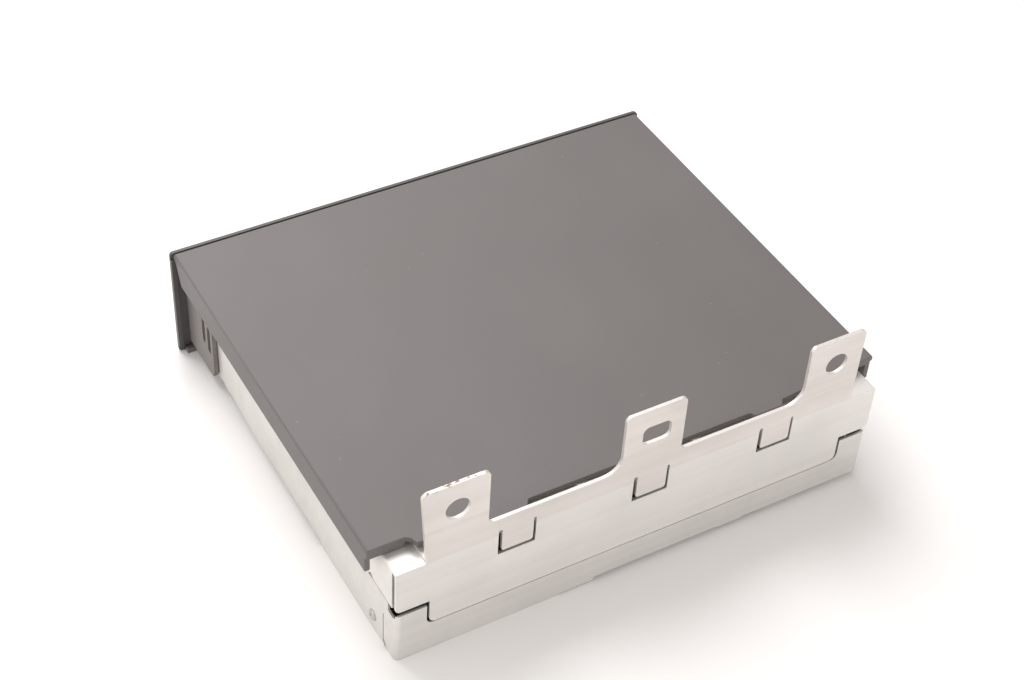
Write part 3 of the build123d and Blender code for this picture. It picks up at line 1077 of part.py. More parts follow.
with BuildPart() as connector_socket:
    block(SOCKET_X, SOCKET_Y, SOCKET_Z)
    block((SOCKET_X[0] - 1, SOCKET_X[1] - SOCKET_BACK), (SOCKET_Y[0] + SOCKET_WALL, SOCKET_Y[1] - SOCKET_WALL),
          (SOCKET_Z[0] + SOCKET_WALL, SOCKET_Z[1] - SOCKET_WALL), Mode.SUBTRACT)
    with Locations(Plane(origin=(SOCKET_X[1] - SOCKET_BACK, sum(SOCKET_Y) / 2, sum(SOCKET_Z) / 2), x_dir=(0, 1, 0),
                         z_dir=(-1, 0, 0))):
        with GridLocations(PIN_PITCH, PIN_PITCH, PINS, 2):
            Box(0.7, 0.7, 3.0, align=(Align.CENTER, Align.CENTER, Align.MIN))
save(connector_socket, "connector_socket")
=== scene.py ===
"""Looks of a slim in-dash disc changer: steel case, grained cover and bezel, rear bracket, mechanism.

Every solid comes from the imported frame. The visible sheet metal, the cover, the shutter and the keys are
copies of their frame meshes with rounded edges. Fastener heads and package leads are stamped, and springs
are coiled, by Geometry Nodes. Lengths in the classes are millimetres; meshes and shaders are in metres.
"""

import json
import logging
import math
from dataclasses import dataclass, field
from enum import Enum

import bmesh
import bpy
from mathutils import Matrix, Vector


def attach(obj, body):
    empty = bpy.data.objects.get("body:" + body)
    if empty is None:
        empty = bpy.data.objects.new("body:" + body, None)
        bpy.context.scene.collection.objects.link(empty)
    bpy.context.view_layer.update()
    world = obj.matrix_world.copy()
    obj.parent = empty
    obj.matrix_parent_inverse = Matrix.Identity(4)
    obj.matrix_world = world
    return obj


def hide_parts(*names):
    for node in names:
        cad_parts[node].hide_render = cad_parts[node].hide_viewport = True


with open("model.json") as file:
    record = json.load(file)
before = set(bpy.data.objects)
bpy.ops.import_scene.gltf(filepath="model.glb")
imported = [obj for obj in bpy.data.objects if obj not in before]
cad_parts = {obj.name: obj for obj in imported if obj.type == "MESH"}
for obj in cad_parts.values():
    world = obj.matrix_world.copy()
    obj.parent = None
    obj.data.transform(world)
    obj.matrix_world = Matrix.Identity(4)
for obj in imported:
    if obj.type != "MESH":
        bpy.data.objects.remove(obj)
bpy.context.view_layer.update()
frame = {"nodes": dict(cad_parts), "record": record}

log = logging.getLogger("changer")
MM = 0.001
REAR = 84.0  # plane of the rear wall, in millimetres
TAB_TOP = 0.0733  # top of the bracket's tabs, in metres
CLIP_FROM = -0.0790  # the bezel is paler behind this plane, in metres

Point = tuple[float, float, float]
Colour = tuple[float, float, float]

RUST: Colour = (0.16, 0.085, 0.04)
SCRATCHED_METAL: Colour = (0.9, 0.9, 0.9)
SCRATCHED_PLASTIC: Colour = (0.02, 0.02, 0.02)
DUST: Colour = (0.55, 0.53, 0.50)
PLATED_HOLE: Colour = (0.55, 0.50, 0.38)


def mm(*values: float) -> Vector:
    """Return a point given in millimetres as a vector in metres."""
    return Vector(values) * MM


class Brush(Enum):
    """Direction in which a sheet's rolling marks run."""

    ALONG_X = (4.0, 260.0, 260.0)
    ALONG_Y = (260.0, 4.0, 260.0)
    NONE = (60.0, 60.0, 60.0)


class Facing(Enum):
    """Outward direction of a fastener's head."""

    LEFT = (1.0, 0.0, 0.0)
    RIGHT = (-1.0, 0.0, 0.0)
    UP = (0.0, 0.0, 1.0)


# ------------------------------------------------------------------ shader building
class Recipe:
    """A material under construction: a Principled shader and helpers that wire textures into it."""

    def __init__(self, name: str, slot_name: str) -> None:
        """Start a material.

        Args:
            name: name of the material.
            slot_name: material slot of the record that pieces in this finish belong to.
        """
        self.material = bpy.data.materials.new(name)
        self.material.use_nodes = True
        self.material["slot_name"] = slot_name
        self.tree = self.material.node_tree
        self.shader = self.tree.nodes["Principled BSDF"]
        self.place = self.add("ShaderNodeTexCoord").outputs["Object"]

    def add(self, kind: str, **settings: object) -> bpy.types.Node:
        """Add a node.

        Args:
            kind: type of the node.
            **settings: attributes to set on it.

        Returns:
            The new node.
        """
        node = self.tree.nodes.new(kind)
        for key, value in settings.items():
            setattr(node, key, value)
        return node

    def wire(self, source: bpy.types.NodeSocket, target: bpy.types.NodeSocket) -> None:
        """Link an output to an input."""
        self.tree.links.new(source, target)

    def scaled(self, scale: Point, shift: Point = (0.0, 0.0, 0.0)) -> bpy.types.NodeSocket:
        """Return object coordinates multiplied by a scale for each axis."""
        node = self.add("ShaderNodeMapping")
        node.inputs["Scale"].default_value = scale
        node.inputs["Location"].default_value = shift
        self.wire(self.place, node.inputs["Vector"])
        return node.outputs["Vector"]

    def noise(self, scale: float, detail: float = 3.0, stretch: Point = (1.0, 1.0, 1.0),
              shift: Point = (0.0, 0.0, 0.0)) -> bpy.types.NodeSocket:
        """Return a noise value.

        Args:
            scale: lumps in each metre.
            detail: octaves.
            stretch: factor on the scale along each axis.
            shift: offset, so that two noises differ.

        Returns:
            The noise's value, from 0 to 1.
        """
        node = self.add("ShaderNodeTexNoise")
        node.inputs["Scale"].default_value = scale
        node.inputs["Detail"].default_value = detail
        self.wire(self.scaled(stretch, shift), node.inputs["Vector"])
        return node.outputs["Fac"]

    def remap(self, value: bpy.types.NodeSocket, low: float, high: float, to_low: float = 0.0,
              to_high: float = 1.0) -> bpy.types.NodeSocket:
        """Return a value moved from one range to another and held inside it."""
        node = self.add("ShaderNodeMapRange")
        for key, number in (("From Min", low), ("From Max", high), ("To Min", to_low), ("To Max", to_high)):
            node.inputs[key].default_value = number
        self.wire(value, node.inputs["Value"])
        return node.outputs["Result"]

    def maths(self, operation: str, first: bpy.types.NodeSocket,
              second: bpy.types.NodeSocket | float) -> bpy.types.NodeSocket:
        """Return the result of a sum on one socket and a socket or number."""
        node = self.add("ShaderNodeMath", operation=operation)
        self.wire(first, node.inputs[0])
        if isinstance(second, (int, float)):
            node.inputs[1].default_value = second
        else:
            self.wire(second, node.inputs[1])
        return node.outputs[0]

    def mix(self, factor: bpy.types.NodeSocket, first: bpy.types.NodeSocket | Colour,
            second: bpy.types.NodeSocket | Colour) -> bpy.types.NodeSocket:
        """Return a mix of two colours."""
        node = self.add("ShaderNodeMix", data_type="RGBA")
        self.wire(factor, node.inputs[0])
        for socket, colour in ((node.inputs[6], first), (node.inputs[7], second)):
            if isinstance(colour, tuple):
                socket.default_value = (*colour, 1.0)
            else:
                self.wire(colour, socket)
        return node.outputs[2]

    def axis(self, name: str) -> bpy.types.NodeSocket:
        """Return one object coordinate, in metres."""
        node = self.add("ShaderNodeSeparateXYZ")
        self.wire(self.place, node.inputs[0])
        return node.outputs[name]

    def colour(self, socket: bpy.types.NodeSocket) -> None:
        """Use a socket as the base colour."""
        self.wire(socket, self.shader.inputs["Base Color"])

    def roughness(self, socket: bpy.types.NodeSocket) -> None:
        """Use a socket as the roughness."""
        self.wire(socket, self.shader.inputs["Roughness"])

    def bump(self, height: bpy.types.NodeSocket, depth: float, strength: float = 1.0) -> None:
        """Raise the surface by a height map.

        Args:
            height: socket with the height, from 0 to 1.
            depth: height of 1, in millimetres.
            strength: strength of the bump.
        """
        node = self.add("ShaderNodeBump")
        node.inputs["Strength"].default_value = strength
        node.inputs["Distance"].default_value = depth * MM
        self.wire(height, node.inputs["Height"])
        self.wire(node.outputs["Normal"], self.shader.inputs["Normal"])

    def scratches(self, amount: float, scale: float = 26.0) -> bpy.types.NodeSocket:
        """Return a mask of a few hair scratches.

        Args:
            amount: share of the surface that they may reach, from 0 to 1.
            scale: how close together they lie.

        Returns:
            A mask that is 1 on a scratch.
        """
        lines = self.noise(scale, 1.5, (1.0, 2.4, 1.0), (3.1, 1.7, 0.4))
        thin = self.maths("ABSOLUTE", self.maths("SUBTRACT", lines, 0.5), 0.0)
        hair = self.remap(thin, 0.0, 0.0016, 1.0, 0.0)
        where = self.remap(self.noise(17.0, 2.0, shift=(7.0, 2.0, 5.0)), 0.66 - amount * 0.2, 0.70 - amount * 0.2)
        return self.maths("MULTIPLY", hair, where)

    def specks(self, scale: float, size: float) -> bpy.types.NodeSocket:
        """Return a mask of small specks of dust, scale to the metre and size as a share of their spacing."""
        node = self.add("ShaderNodeTexVoronoi")
        node.inputs["Scale"].default_value = scale
        self.wire(self.place, node.inputs["Vector"])
        dot = self.remap(node.outputs["Distance"], size * 0.6, size, 1.0, 0.0)
        few = self.remap(self.noise(scale * 0.35, 1.0, shift=(1.0, 9.0, 4.0)), 0.58, 0.62)
        return self.maths("MULTIPLY", dot, few)


@dataclass(frozen=True)
class SheetSteel:
    """Zinc-plated or bare sheet: fine grain, rolling marks, soft mottling."""

    name: str
    slot: str
    colour: Colour
    dark: Colour
    roughness: float = 0.38
    metallic: float = 0.85
    brush: Brush = Brush.NONE
    marks: float = 0.25
    worn_edge: bool = False

    def make(self) -> bpy.types.Material:
        """Build the material."""
        recipe = Recipe(self.name, self.slot)
        cloud = recipe.remap(recipe.noise(38.0, 4.0), 0.35, 0.7)
        rolled = recipe.remap(recipe.noise(1.0, 2.0, self.brush.value), 0.3, 0.7)
        grain = recipe.noise(3200.0, 2.0)
        shade = recipe.maths("MULTIPLY", rolled, self.marks)
        shade = recipe.maths("ADD", shade, recipe.maths("MULTIPLY", cloud, 0.3))
        colour = recipe.mix(shade, self.colour, self.dark)
        speckle = recipe.remap(grain, 0.3, 0.7, 0.0, 0.14)
        colour = recipe.mix(speckle, colour, self.dark)
        if self.worn_edge:
            colour = recipe.mix(self.rust(recipe), colour, RUST)
        scratch = recipe.scratches(0.5, 34.0)
        colour = recipe.mix(recipe.maths("MULTIPLY", scratch, 0.35), colour, SCRATCHED_METAL)
        recipe.colour(colour)
        rough = recipe.maths("ADD", recipe.maths("MULTIPLY", cloud, 0.10), self.roughness - 0.05)
        recipe.roughness(recipe.maths("ADD", rough, recipe.maths("MULTIPLY", grain, 0.05)))
        recipe.shader.inputs["Metallic"].default_value = self.metallic
        recipe.bump(recipe.maths("ADD", grain, recipe.maths("MULTIPLY", rolled, 0.5)), 0.012, 0.5)
        return recipe.material

    @staticmethod
    def rust(recipe: Recipe) -> bpy.types.NodeSocket:
        """Return a mask of brown wear along the top edge of the tabs, most of it on the left one."""
        height = recipe.remap(recipe.axis("Z"), 0.0725, TAB_TOP)
        side = recipe.remap(recipe.axis("X"), 0.045, 0.065, 0.15, 1.0)
        broken = recipe.remap(recipe.noise(1300.0, 4.0, (0.5, 1.0, 1.0)), 0.52, 0.64)
        edge = recipe.maths("MULTIPLY", recipe.maths("MULTIPLY", height, broken), side)
        return recipe.maths("MULTIPLY", edge, 0.9)


@dataclass(frozen=True)
class GrainedPlastic:
    """Moulded plastic with a fine grain, faint handling marks and dust."""

    name: str
    slot: str
    colour: Colour
    worn: Colour
    roughness: float = 0.5
    grain: float = 0.03
    grain_scale: float = 2600.0
    handling: float = 0.4
    specular: float = 0.5
    inner: Colour | None = None

    def make(self) -> bpy.types.Material:
        """Build the material."""
        recipe = Recipe(self.name, self.slot)
        cloud = recipe.remap(recipe.noise(16.0, 3.0, shift=(2.0, 5.0, 1.0)), 0.32, 0.68)
        smear = recipe.remap(recipe.noise(30.0, 4.0, (1.0, 0.6, 1.0), (4.0, 0.0, 2.0)), 0.45, 0.75)
        grain = recipe.noise(self.grain_scale, 2.0)
        worn = recipe.maths("MULTIPLY", recipe.maths("ADD", cloud, smear), 0.5 * self.handling)
        colour = recipe.mix(worn, self.colour, self.worn)
        if self.inner:
            behind = recipe.remap(recipe.axis("Y"), CLIP_FROM, -0.0788)
            colour = recipe.mix(behind, colour, self.inner)
        fine = recipe.remap(grain, 0.3, 0.7, 0.0, 0.16)
        colour = recipe.mix(fine, colour, self.worn)
        marks = recipe.maths("MULTIPLY", recipe.scratches(0.3), 0.35 * self.handling)
        colour = recipe.mix(marks, colour, SCRATCHED_PLASTIC)
        dust = recipe.maths("MULTIPLY", recipe.specks(150.0, 0.055), 0.5 * self.handling)
        colour = recipe.mix(dust, colour, DUST)
        recipe.colour(colour)
        rough = recipe.maths("ADD", recipe.maths("MULTIPLY", cloud, 0.08), self.roughness - 0.04)
        recipe.roughness(rough)
        recipe.shader.inputs["Specular IOR Level"].default_value = self.specular
        recipe.bump(grain, self.grain, 0.7)
        return recipe.material


@dataclass(frozen=True)
class Turned:
    """Turned, drawn or ground metal: rings round its axis and a clean shine."""

    name: str
    slot: str
    colour: Colour
    roughness: float = 0.28

    def make(self) -> bpy.types.Material:
        """Build the material."""
        recipe = Recipe(self.name, self.slot)
        rings = recipe.noise(1.0, 1.0, (5200.0, 40.0, 40.0))
        cloud = recipe.noise(120.0, 2.0)
        dark = tuple(channel * 0.8 for channel in self.colour)
        recipe.colour(recipe.mix(recipe.remap(cloud, 0.35, 0.7, 0.0, 0.5), self.colour, dark))
        recipe.roughness(recipe.remap(rings, 0.2, 0.8, self.roughness - 0.06, self.roughness + 0.08))
        recipe.shader.inputs["Metallic"].default_value = 1.0
        recipe.bump(rings, 0.006, 0.4)
        return recipe.material


@dataclass(frozen=True)
class Board:
    """Circuit board: solder mask with copper tracks showing through and rows of plated holes."""

    name: str
    slot: str
    mask: Colour = (0.012, 0.10, 0.045)
    track: Colour = (0.03, 0.20, 0.085)

    def make(self) -> bpy.types.Material:
        """Build the material."""
        recipe = Recipe(self.name, self.slot)
        brick = recipe.add("ShaderNodeTexBrick", offset=0.5, squash=1.4)
        brick.inputs["Scale"].default_value = 320.0
        brick.inputs["Mortar Size"].default_value = 0.09
        turn = recipe.add("ShaderNodeCombineXYZ")
        recipe.wire(recipe.axis("Y"), turn.inputs["X"])
        recipe.wire(recipe.maths("ADD", recipe.axis("Z"), recipe.axis("X")), turn.inputs["Y"])
        recipe.wire(turn.outputs[0], brick.inputs["Vector"])
        here = recipe.remap(recipe.noise(90.0, 1.0), 0.42, 0.5)
        lines = recipe.maths("MULTIPLY", brick.outputs["Fac"], here)
        colour = recipe.mix(lines, self.mask, self.track)
        hole = recipe.add("ShaderNodeTexVoronoi")
        hole.inputs["Scale"].default_value = 260.0
        recipe.wire(recipe.place, hole.inputs["Vector"])
        plated = recipe.remap(hole.outputs["Distance"], 0.10, 0.13, 1.0, 0.0)
        recipe.colour(recipe.mix(plated, colour, PLATED_HOLE))
        recipe.roughness(recipe.remap(lines, 0.0, 1.0, 0.35, 0.42))
        recipe.bump(recipe.maths("ADD", lines, plated), 0.02, 0.5)
        return recipe.material


@dataclass(frozen=True)
class Clear:
    """Clear or tinted plastic or glass."""

    name: str
    slot: str
    colour: Colour
    roughness: float = 0.12
    transmission: float = 0.6

    def make(self) -> bpy.types.Material:
        """Build the material."""
        recipe = Recipe(self.name, self.slot)
        haze = recipe.noise(700.0, 2.0)
        pale = tuple(min(1.0, channel * 1.15) for channel in self.colour)
        recipe.colour(recipe.mix(recipe.remap(haze, 0.3, 0.7, 0.0, 0.5), self.colour, pale))
        recipe.roughness(recipe.remap(haze, 0.3, 0.7, self.roughness, self.roughness + 0.06))
        recipe.shader.inputs["Transmission Weight"].default_value = self.transmission
        recipe.shader.inputs["IOR"].default_value = 1.49
        return recipe.material


FINISHES = (
    SheetSteel("case_zinc", "zinc_steel", (0.76, 0.74, 0.715), (0.58, 0.56, 0.535), 0.42, 0.55, Brush.ALONG_X, 0.22),
    SheetSteel("lid_zinc", "lid_steel", (0.82, 0.80, 0.77), (0.62, 0.60, 0.57), 0.40, 0.5, Brush.ALONG_X, 0.20),
    SheetSteel("bracket_satin", "bracket_steel", (0.80, 0.765, 0.725), (0.58, 0.55, 0.515), 0.42, 0.45,
               Brush.ALONG_X, 0.35, True),
    SheetSteel("mechanism_zinc", "frame_steel", (0.62, 0.63, 0.63), (0.45, 0.45, 0.45), 0.38, 0.9, Brush.ALONG_Y),
    SheetSteel("arm_steel", "arm_steel", (0.60, 0.60, 0.58), (0.42, 0.42, 0.40), 0.36, 0.9),
    SheetSteel("motor_can", "motor_steel", (0.64, 0.64, 0.62), (0.46, 0.46, 0.44), 0.32, 0.95),
    SheetSteel("fastener_zinc", "screw_steel", (0.56, 0.55, 0.52), (0.36, 0.35, 0.33), 0.34, 0.95),
    GrainedPlastic("cover_grain", "cover_plastic", (0.126, 0.114, 0.112), (0.172, 0.156, 0.152), 0.55, 0.03),
    GrainedPlastic("bezel_grain", "bezel_plastic", (0.078, 0.073, 0.071), (0.112, 0.104, 0.100), 0.50, 0.03,
                   inner=(0.185, 0.165, 0.155)),
    GrainedPlastic("shutter_black", "shutter_plastic", (0.012, 0.012, 0.013), (0.03, 0.03, 0.03), 0.55, 0.02),
    GrainedPlastic("key_grey", "key_plastic", (0.050, 0.050, 0.053), (0.085, 0.085, 0.088), 0.42, 0.012, 3400.0),
    GrainedPlastic("package_black", "part_black", (0.016, 0.016, 0.018), (0.045, 0.045, 0.045), 0.45, 0.02),
    GrainedPlastic("guide_black", "guide_plastic", (0.030, 0.030, 0.032), (0.06, 0.06, 0.06), 0.45, 0.02),
    GrainedPlastic("tray_black", "tray_plastic", (0.045, 0.045, 0.048), (0.08, 0.08, 0.08), 0.48, 0.025),
    GrainedPlastic("carriage_grey", "carriage_plastic", (0.07, 0.07, 0.078), (0.11, 0.11, 0.12), 0.46, 0.025),
    GrainedPlastic("gear_cream", "gear_plastic", (0.72, 0.70, 0.62), (0.80, 0.78, 0.70), 0.34, 0.006, 1500.0, 0.2),
    GrainedPlastic("socket_cream", "socket_plastic", (0.74, 0.70, 0.58), (0.80, 0.76, 0.66), 0.38, 0.006, 1500.0, 0.2),
    GrainedPlastic("mount_rubber", "mount_rubber", (0.018, 0.018, 0.018), (0.05, 0.05, 0.05), 0.72, 0.04),
    GrainedPlastic("roller_rubber", "roller_rubber", (0.026, 0.026, 0.026), (0.06, 0.06, 0.06), 0.66, 0.03),
    Turned("bush_brass", "bush_brass", (0.72, 0.55, 0.24)),
    Turned("ground_steel", "shaft_steel", (0.74, 0.74, 0.75), 0.18),
    Turned("spring_wire", "spring_steel", (0.62, 0.62, 0.62), 0.26),
    Board("board_mask", "board_green"),
    Clear("light_clear", "light_guide", (0.70, 0.86, 0.72)),
    Clear("lens_coated", "lens_glass", (0.40, 0.46, 0.85), 0.05, 0.5),
)


@dataclass(frozen=True)
class Print:
    """Pale print on the keys."""

    name: str = "key_print"
    slot: str = "key_plastic"

    def make(self) -> bpy.types.Material:
        """Build the material."""
        recipe = Recipe(self.name, self.slot)
        worn = recipe.remap(recipe.noise(900.0, 2.0), 0.35, 0.65, 0.0, 0.35)
        recipe.colour(recipe.mix(worn, (0.72, 0.72, 0.70), (0.50, 0.50, 0.49)))
        recipe.roughness(recipe.remap(worn, 0.0, 0.35, 0.45, 0.6))
        return recipe.material


class Finishes:
    """All finishes, looked up by the record's slot, and the dressing of frame nodes."""

    def __init__(self) -> None:
        """Build every finish."""
        self.by_slot = {finish.slot: finish.make() for finish in FINISHES}
        self.print = Print().make()
        self.slot_of = {entry["node"]: entry["material_slot"] for entry in frame["record"]["subparts"]}

    def of(self, node: str) -> bpy.types.Material:
        """Return the material for a frame node."""
        return self.by_slot[self.slot_of[node]]

    def dress(self, node: str) -> None:
        """Give a frame node its finish."""
        mesh = frame["nodes"][node].data
        mesh.materials.clear()
        mesh.materials.append(self.of(node))


# ------------------------------------------------------------------ mesh building
def body_name(node: str) -> str:
    """Return the body that a frame node rides on."""
    bodies = frame["record"]["behaviour"]["bodies"]
    return next(body for body, nodes in bodies.items() if node in nodes)


def new_piece(name: str, mesh: bpy.types.Mesh, material: bpy.types.Material) -> bpy.types.Object:
    """Put a mesh into the scene.

    Args:
        name: name of the object.
        mesh: its mesh, in place.
        material: its finish.

    Returns:
        The new object.
    """
    piece = bpy.data.objects.new(name, mesh)
    bpy.context.scene.collection.objects.link(piece)
    mesh.materials.clear()
    mesh.materials.append(material)
    return piece


def settle(piece: bpy.types.Object, node: str, replace: bool) -> bpy.types.Object:
    """Make a piece ride with a node's body and, if asked, stand for it.

    Args:
        piece: the piece.
        node: the frame node that it belongs to.
        replace: whether the node is hidden.

    Returns:
        The piece.
    """
    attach(piece, body_name(node))
    if replace:
        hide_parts(node)
    log.info("%s rides on %s", piece.name, body_name(node))
    return piece


@dataclass
class RoundedCopy:
    """Copy of a frame node's mesh with its triangles merged into faces and its edges rounded."""

    node: str
    finishes: Finishes
    width: float = 0.25
    segments: int = 2
    angle: float = 35.0

    def shape(self, mesh: bmesh.types.BMesh) -> None:
        """Change the merged mesh before its edges are rounded: nothing on a plain copy."""

    def build(self) -> bpy.types.Object:
        """Build the copy and let it replace its node."""
        source = frame["nodes"][self.node]
        shell = bmesh.new()
        shell.from_mesh(source.data)
        bmesh.ops.remove_doubles(shell, verts=shell.verts, dist=1e-6)
        bmesh.ops.dissolve_limit(shell, angle_limit=math.radians(0.5), verts=shell.verts, edges=shell.edges,
                                 delimit=set())
        self.shape(shell)
        mesh = bpy.data.meshes.new(f"{self.node}_rounded")
        shell.to_mesh(mesh)
        shell.free()
        piece = new_piece(f"{self.node}_rounded", mesh, self.finishes.of(self.node))
        bevel = piece.modifiers.new("edges", "BEVEL")
        bevel.width = self.width * MM
        bevel.segments = self.segments
        bevel.limit_method = "ANGLE"
        bevel.angle_limit = math.radians(self.angle)
        bevel.use_clamp_overlap = True
        bevel.harden_normals = True
        bevel.miter_outer = "MITER_ARC"
        return settle(piece, self.node, True)


class DishedKey(RoundedCopy):
    """A key cap with a shallow dish in its face."""

    def shape(self, mesh: bmesh.types.BMesh) -> None:
        """Sink the middle of the front face."""
        front = max((face for face in mesh.faces if face.normal.y < -0.99), key=lambda face: face.calc_area())
        bmesh.ops.inset_region(mesh, faces=[front], thickness=0.7 * MM, depth=-0.22 * MM)


# ------------------------------------------------------------------ repeated details
class StampTree:
    """Geometry Nodes tree that sets a copy of an object on every vertex, turned to the attribute facing."""

    def __init__(self, name: str) -> None:
        """Build the tree.

        Args:
            name: name of the tree.
        """
        self.group = bpy.data.node_groups.new(name, "GeometryNodeTree")
        face = self.group.interface
        face.new_socket("Places", in_out="INPUT", socket_type="NodeSocketGeometry")
        self.stamp = face.new_socket("Stamp", in_out="INPUT", socket_type="NodeSocketObject").identifier
        self.size = face.new_socket("Size", in_out="INPUT", socket_type="NodeSocketFloat").identifier
        self.finish = face.new_socket("Finish", in_out="INPUT", socket_type="NodeSocketMaterial").identifier
        face.new_socket("Result", in_out="OUTPUT", socket_type="NodeSocketGeometry")
        add, wire = self.group.nodes.new, self.group.links.new
        source = add("NodeGroupInput")
        info = add("GeometryNodeObjectInfo")
        heading = add("GeometryNodeInputNamedAttribute")
        heading.data_type = "FLOAT_VECTOR"
        heading.inputs["Name"].default_value = "facing"
        turn = add("FunctionNodeAlignRotationToVector")
        turn.axis = "Z"
        stamped = add("GeometryNodeInstanceOnPoints")
        real = add("GeometryNodeRealizeInstances")
        paint = add("GeometryNodeSetMaterial")
        result = add("NodeGroupOutput")
        wire(source.outputs["Stamp"], info.inputs["Object"])
        wire(heading.outputs["Attribute"], turn.inputs["Vector"])
        wire(source.outputs["Places"], stamped.inputs["Points"])
        wire(info.outputs["Geometry"], stamped.inputs["Instance"])
        wire(turn.outputs["Rotation"], stamped.inputs["Rotation"])
        wire(source.outputs["Size"], stamped.inputs["Scale"])
        wire(stamped.outputs["Instances"], real.inputs["Geometry"])
        wire(real.outputs["Geometry"], paint.inputs["Geometry"])
        wire(source.outputs["Finish"], paint.inputs["Material"])
        wire(paint.outputs["Geometry"], result.inputs["Result"])

    def place(self, name: str, places: list[tuple[Point, Point]], stamp: bpy.types.Mesh,
              material: bpy.types.Material, size: float = 1.0) -> bpy.types.Object:
        """Stamp a mesh at every place.

        Args:
            name: name of the resulting piece.
            places: position in millimetres and outward direction of each copy.
            stamp: the mesh to repeat, with its base on z = 0, in metres.
            material: its finish.
            size: factor on its size.

        Returns:
            One piece with all the copies.
        """
        dots = bpy.data.meshes.new(f"{name}_places")
        dots.from_pydata([mm(*position) for position, _ in places], [], [])
        facing = dots.attributes.new("facing", "FLOAT_VECTOR", "POINT")
        for index, (_, direction) in enumerate(places):
            facing.data[index].vector = direction
        holder = bpy.data.objects.new(f"{name}_holder", dots)
        pattern = bpy.data.objects.new(f"{name}_stamp", stamp)
        bpy.context.scene.collection.objects.link(holder)
        bpy.context.scene.collection.objects.link(pattern)
        modifier = holder.modifiers.new("stamp", "NODES")
        modifier.node_group = self.group
        modifier[self.stamp] = pattern
        modifier[self.size] = size
        modifier[self.finish] = material
        shaped = holder.evaluated_get(bpy.context.evaluated_depsgraph_get())
        mesh = bpy.data.meshes.new_from_object(shaped)
        mesh.name = name
        holder.modifiers.remove(modifier)
        for spent in (holder, pattern):
            bpy.data.objects.remove(spent)
        return new_piece(name, mesh, material)


def lathed(profile: list[tuple[float, float]], steps: int = 24) -> bpy.types.Mesh:
    """Turn a profile round Z.

    Args:
        profile: (radius, height) points in millimetres, from the axis at the base to the axis at the top.
        steps: sides of the result.

    Returns:
        A closed mesh in metres.
    """
    shell = bmesh.new()
    rings = []
    for radius, height in profile:
        if radius < 1e-6:
            rings.append([shell.verts.new(mm(0, 0, height))])
            continue
        turns = (2 * math.pi * k / steps for k in range(steps))
        rings.append([shell.verts.new(mm(radius * math.cos(t), radius * math.sin(t), height)) for t in turns])
    for low, high in zip(rings, rings[1:]):
        for k in range(steps):
            corners = [low[k % len(low)], low[(k + 1) % len(low)], high[(k + 1) % len(high)], high[k % len(high)]]
            shell.faces.new(dict.fromkeys(corners))
    bmesh.ops.recalc_face_normals(shell, faces=shell.faces)
    for face in shell.faces:
        face.smooth = True
    mesh = bpy.data.meshes.new("lathed")
    shell.to_mesh(mesh)
    shell.free()
    mesh.set_sharp_from_angle(angle=math.radians(40))
    return mesh


@dataclass
class Fasteners:
    """Heads of the rivets and screws that hold the case, the lid and the bracket."""

    finishes: Finishes
    wall_x: float = 91.0
    lid_top: float = 42.0
    bracket: float = 1.2
    rivet_back: float = 15.8
    rivet_z: float = 6.4
    screw_back: tuple[float, ...] = (24.0, 80.0, 136.0)
    screw_z: float = 37.8
    foot_rivets: tuple[float, ...] = (67.0, 22.0, -22.0, -67.0)
    foot_rivet_back: float = 8.2

    def build(self) -> list[bpy.types.Object]:
        """Build all the heads."""
        tree = StampTree("heads")
        steel = self.finishes.by_slot["screw_steel"]
        sides = ((self.wall_x, Facing.LEFT.value), (-self.wall_x, Facing.RIGHT.value))
        dimpled = lathed([(0, -0.9), (1.2, -0.9), (1.2, 0), (2.15, 0), (2.2, 0.2), (1.95, 0.52), (1.3, 0.7),
                          (0.85, 0.62), (0.7, 0.3), (0.62, -0.35), (0, -0.4)])
        walls = [((x, REAR - self.rivet_back, self.rivet_z), way) for x, way in sides]
        domed = lathed([(0, -1.6), (1.2, -1.6), (1.2, 0), (2.3, 0), (2.4, 0.22), (2.1, 0.62), (1.3, 0.86), (0, 0.9)])
        foot_z = self.lid_top + self.bracket
        feet = [((x, REAR - self.foot_rivet_back, foot_z), Facing.UP.value) for x in self.foot_rivets]
        socket = lathed([(0, -1.6), (1.2, -1.6), (1.2, 0), (2.5, 0), (2.6, 0.3), (2.45, 1.1), (2.0, 1.5), (1.35, 1.6),
                         (1.0, 1.5), (0.95, 0.7), (0, 0.5)])
        screws = [((x, REAR - back, self.screw_z), way) for x, way in sides for back in self.screw_back]
        made = []
        for name, node, places, mesh in (("wall_rivet_heads", "wall_rivets", walls, dimpled),
                                         ("bracket_rivet_heads", "bracket_rivets", feet, domed),
                                         ("lid_screw_heads", "lid_screws", screws, socket)):
            made.append(settle(tree.place(name, places, mesh, steel), node, True))
        return made


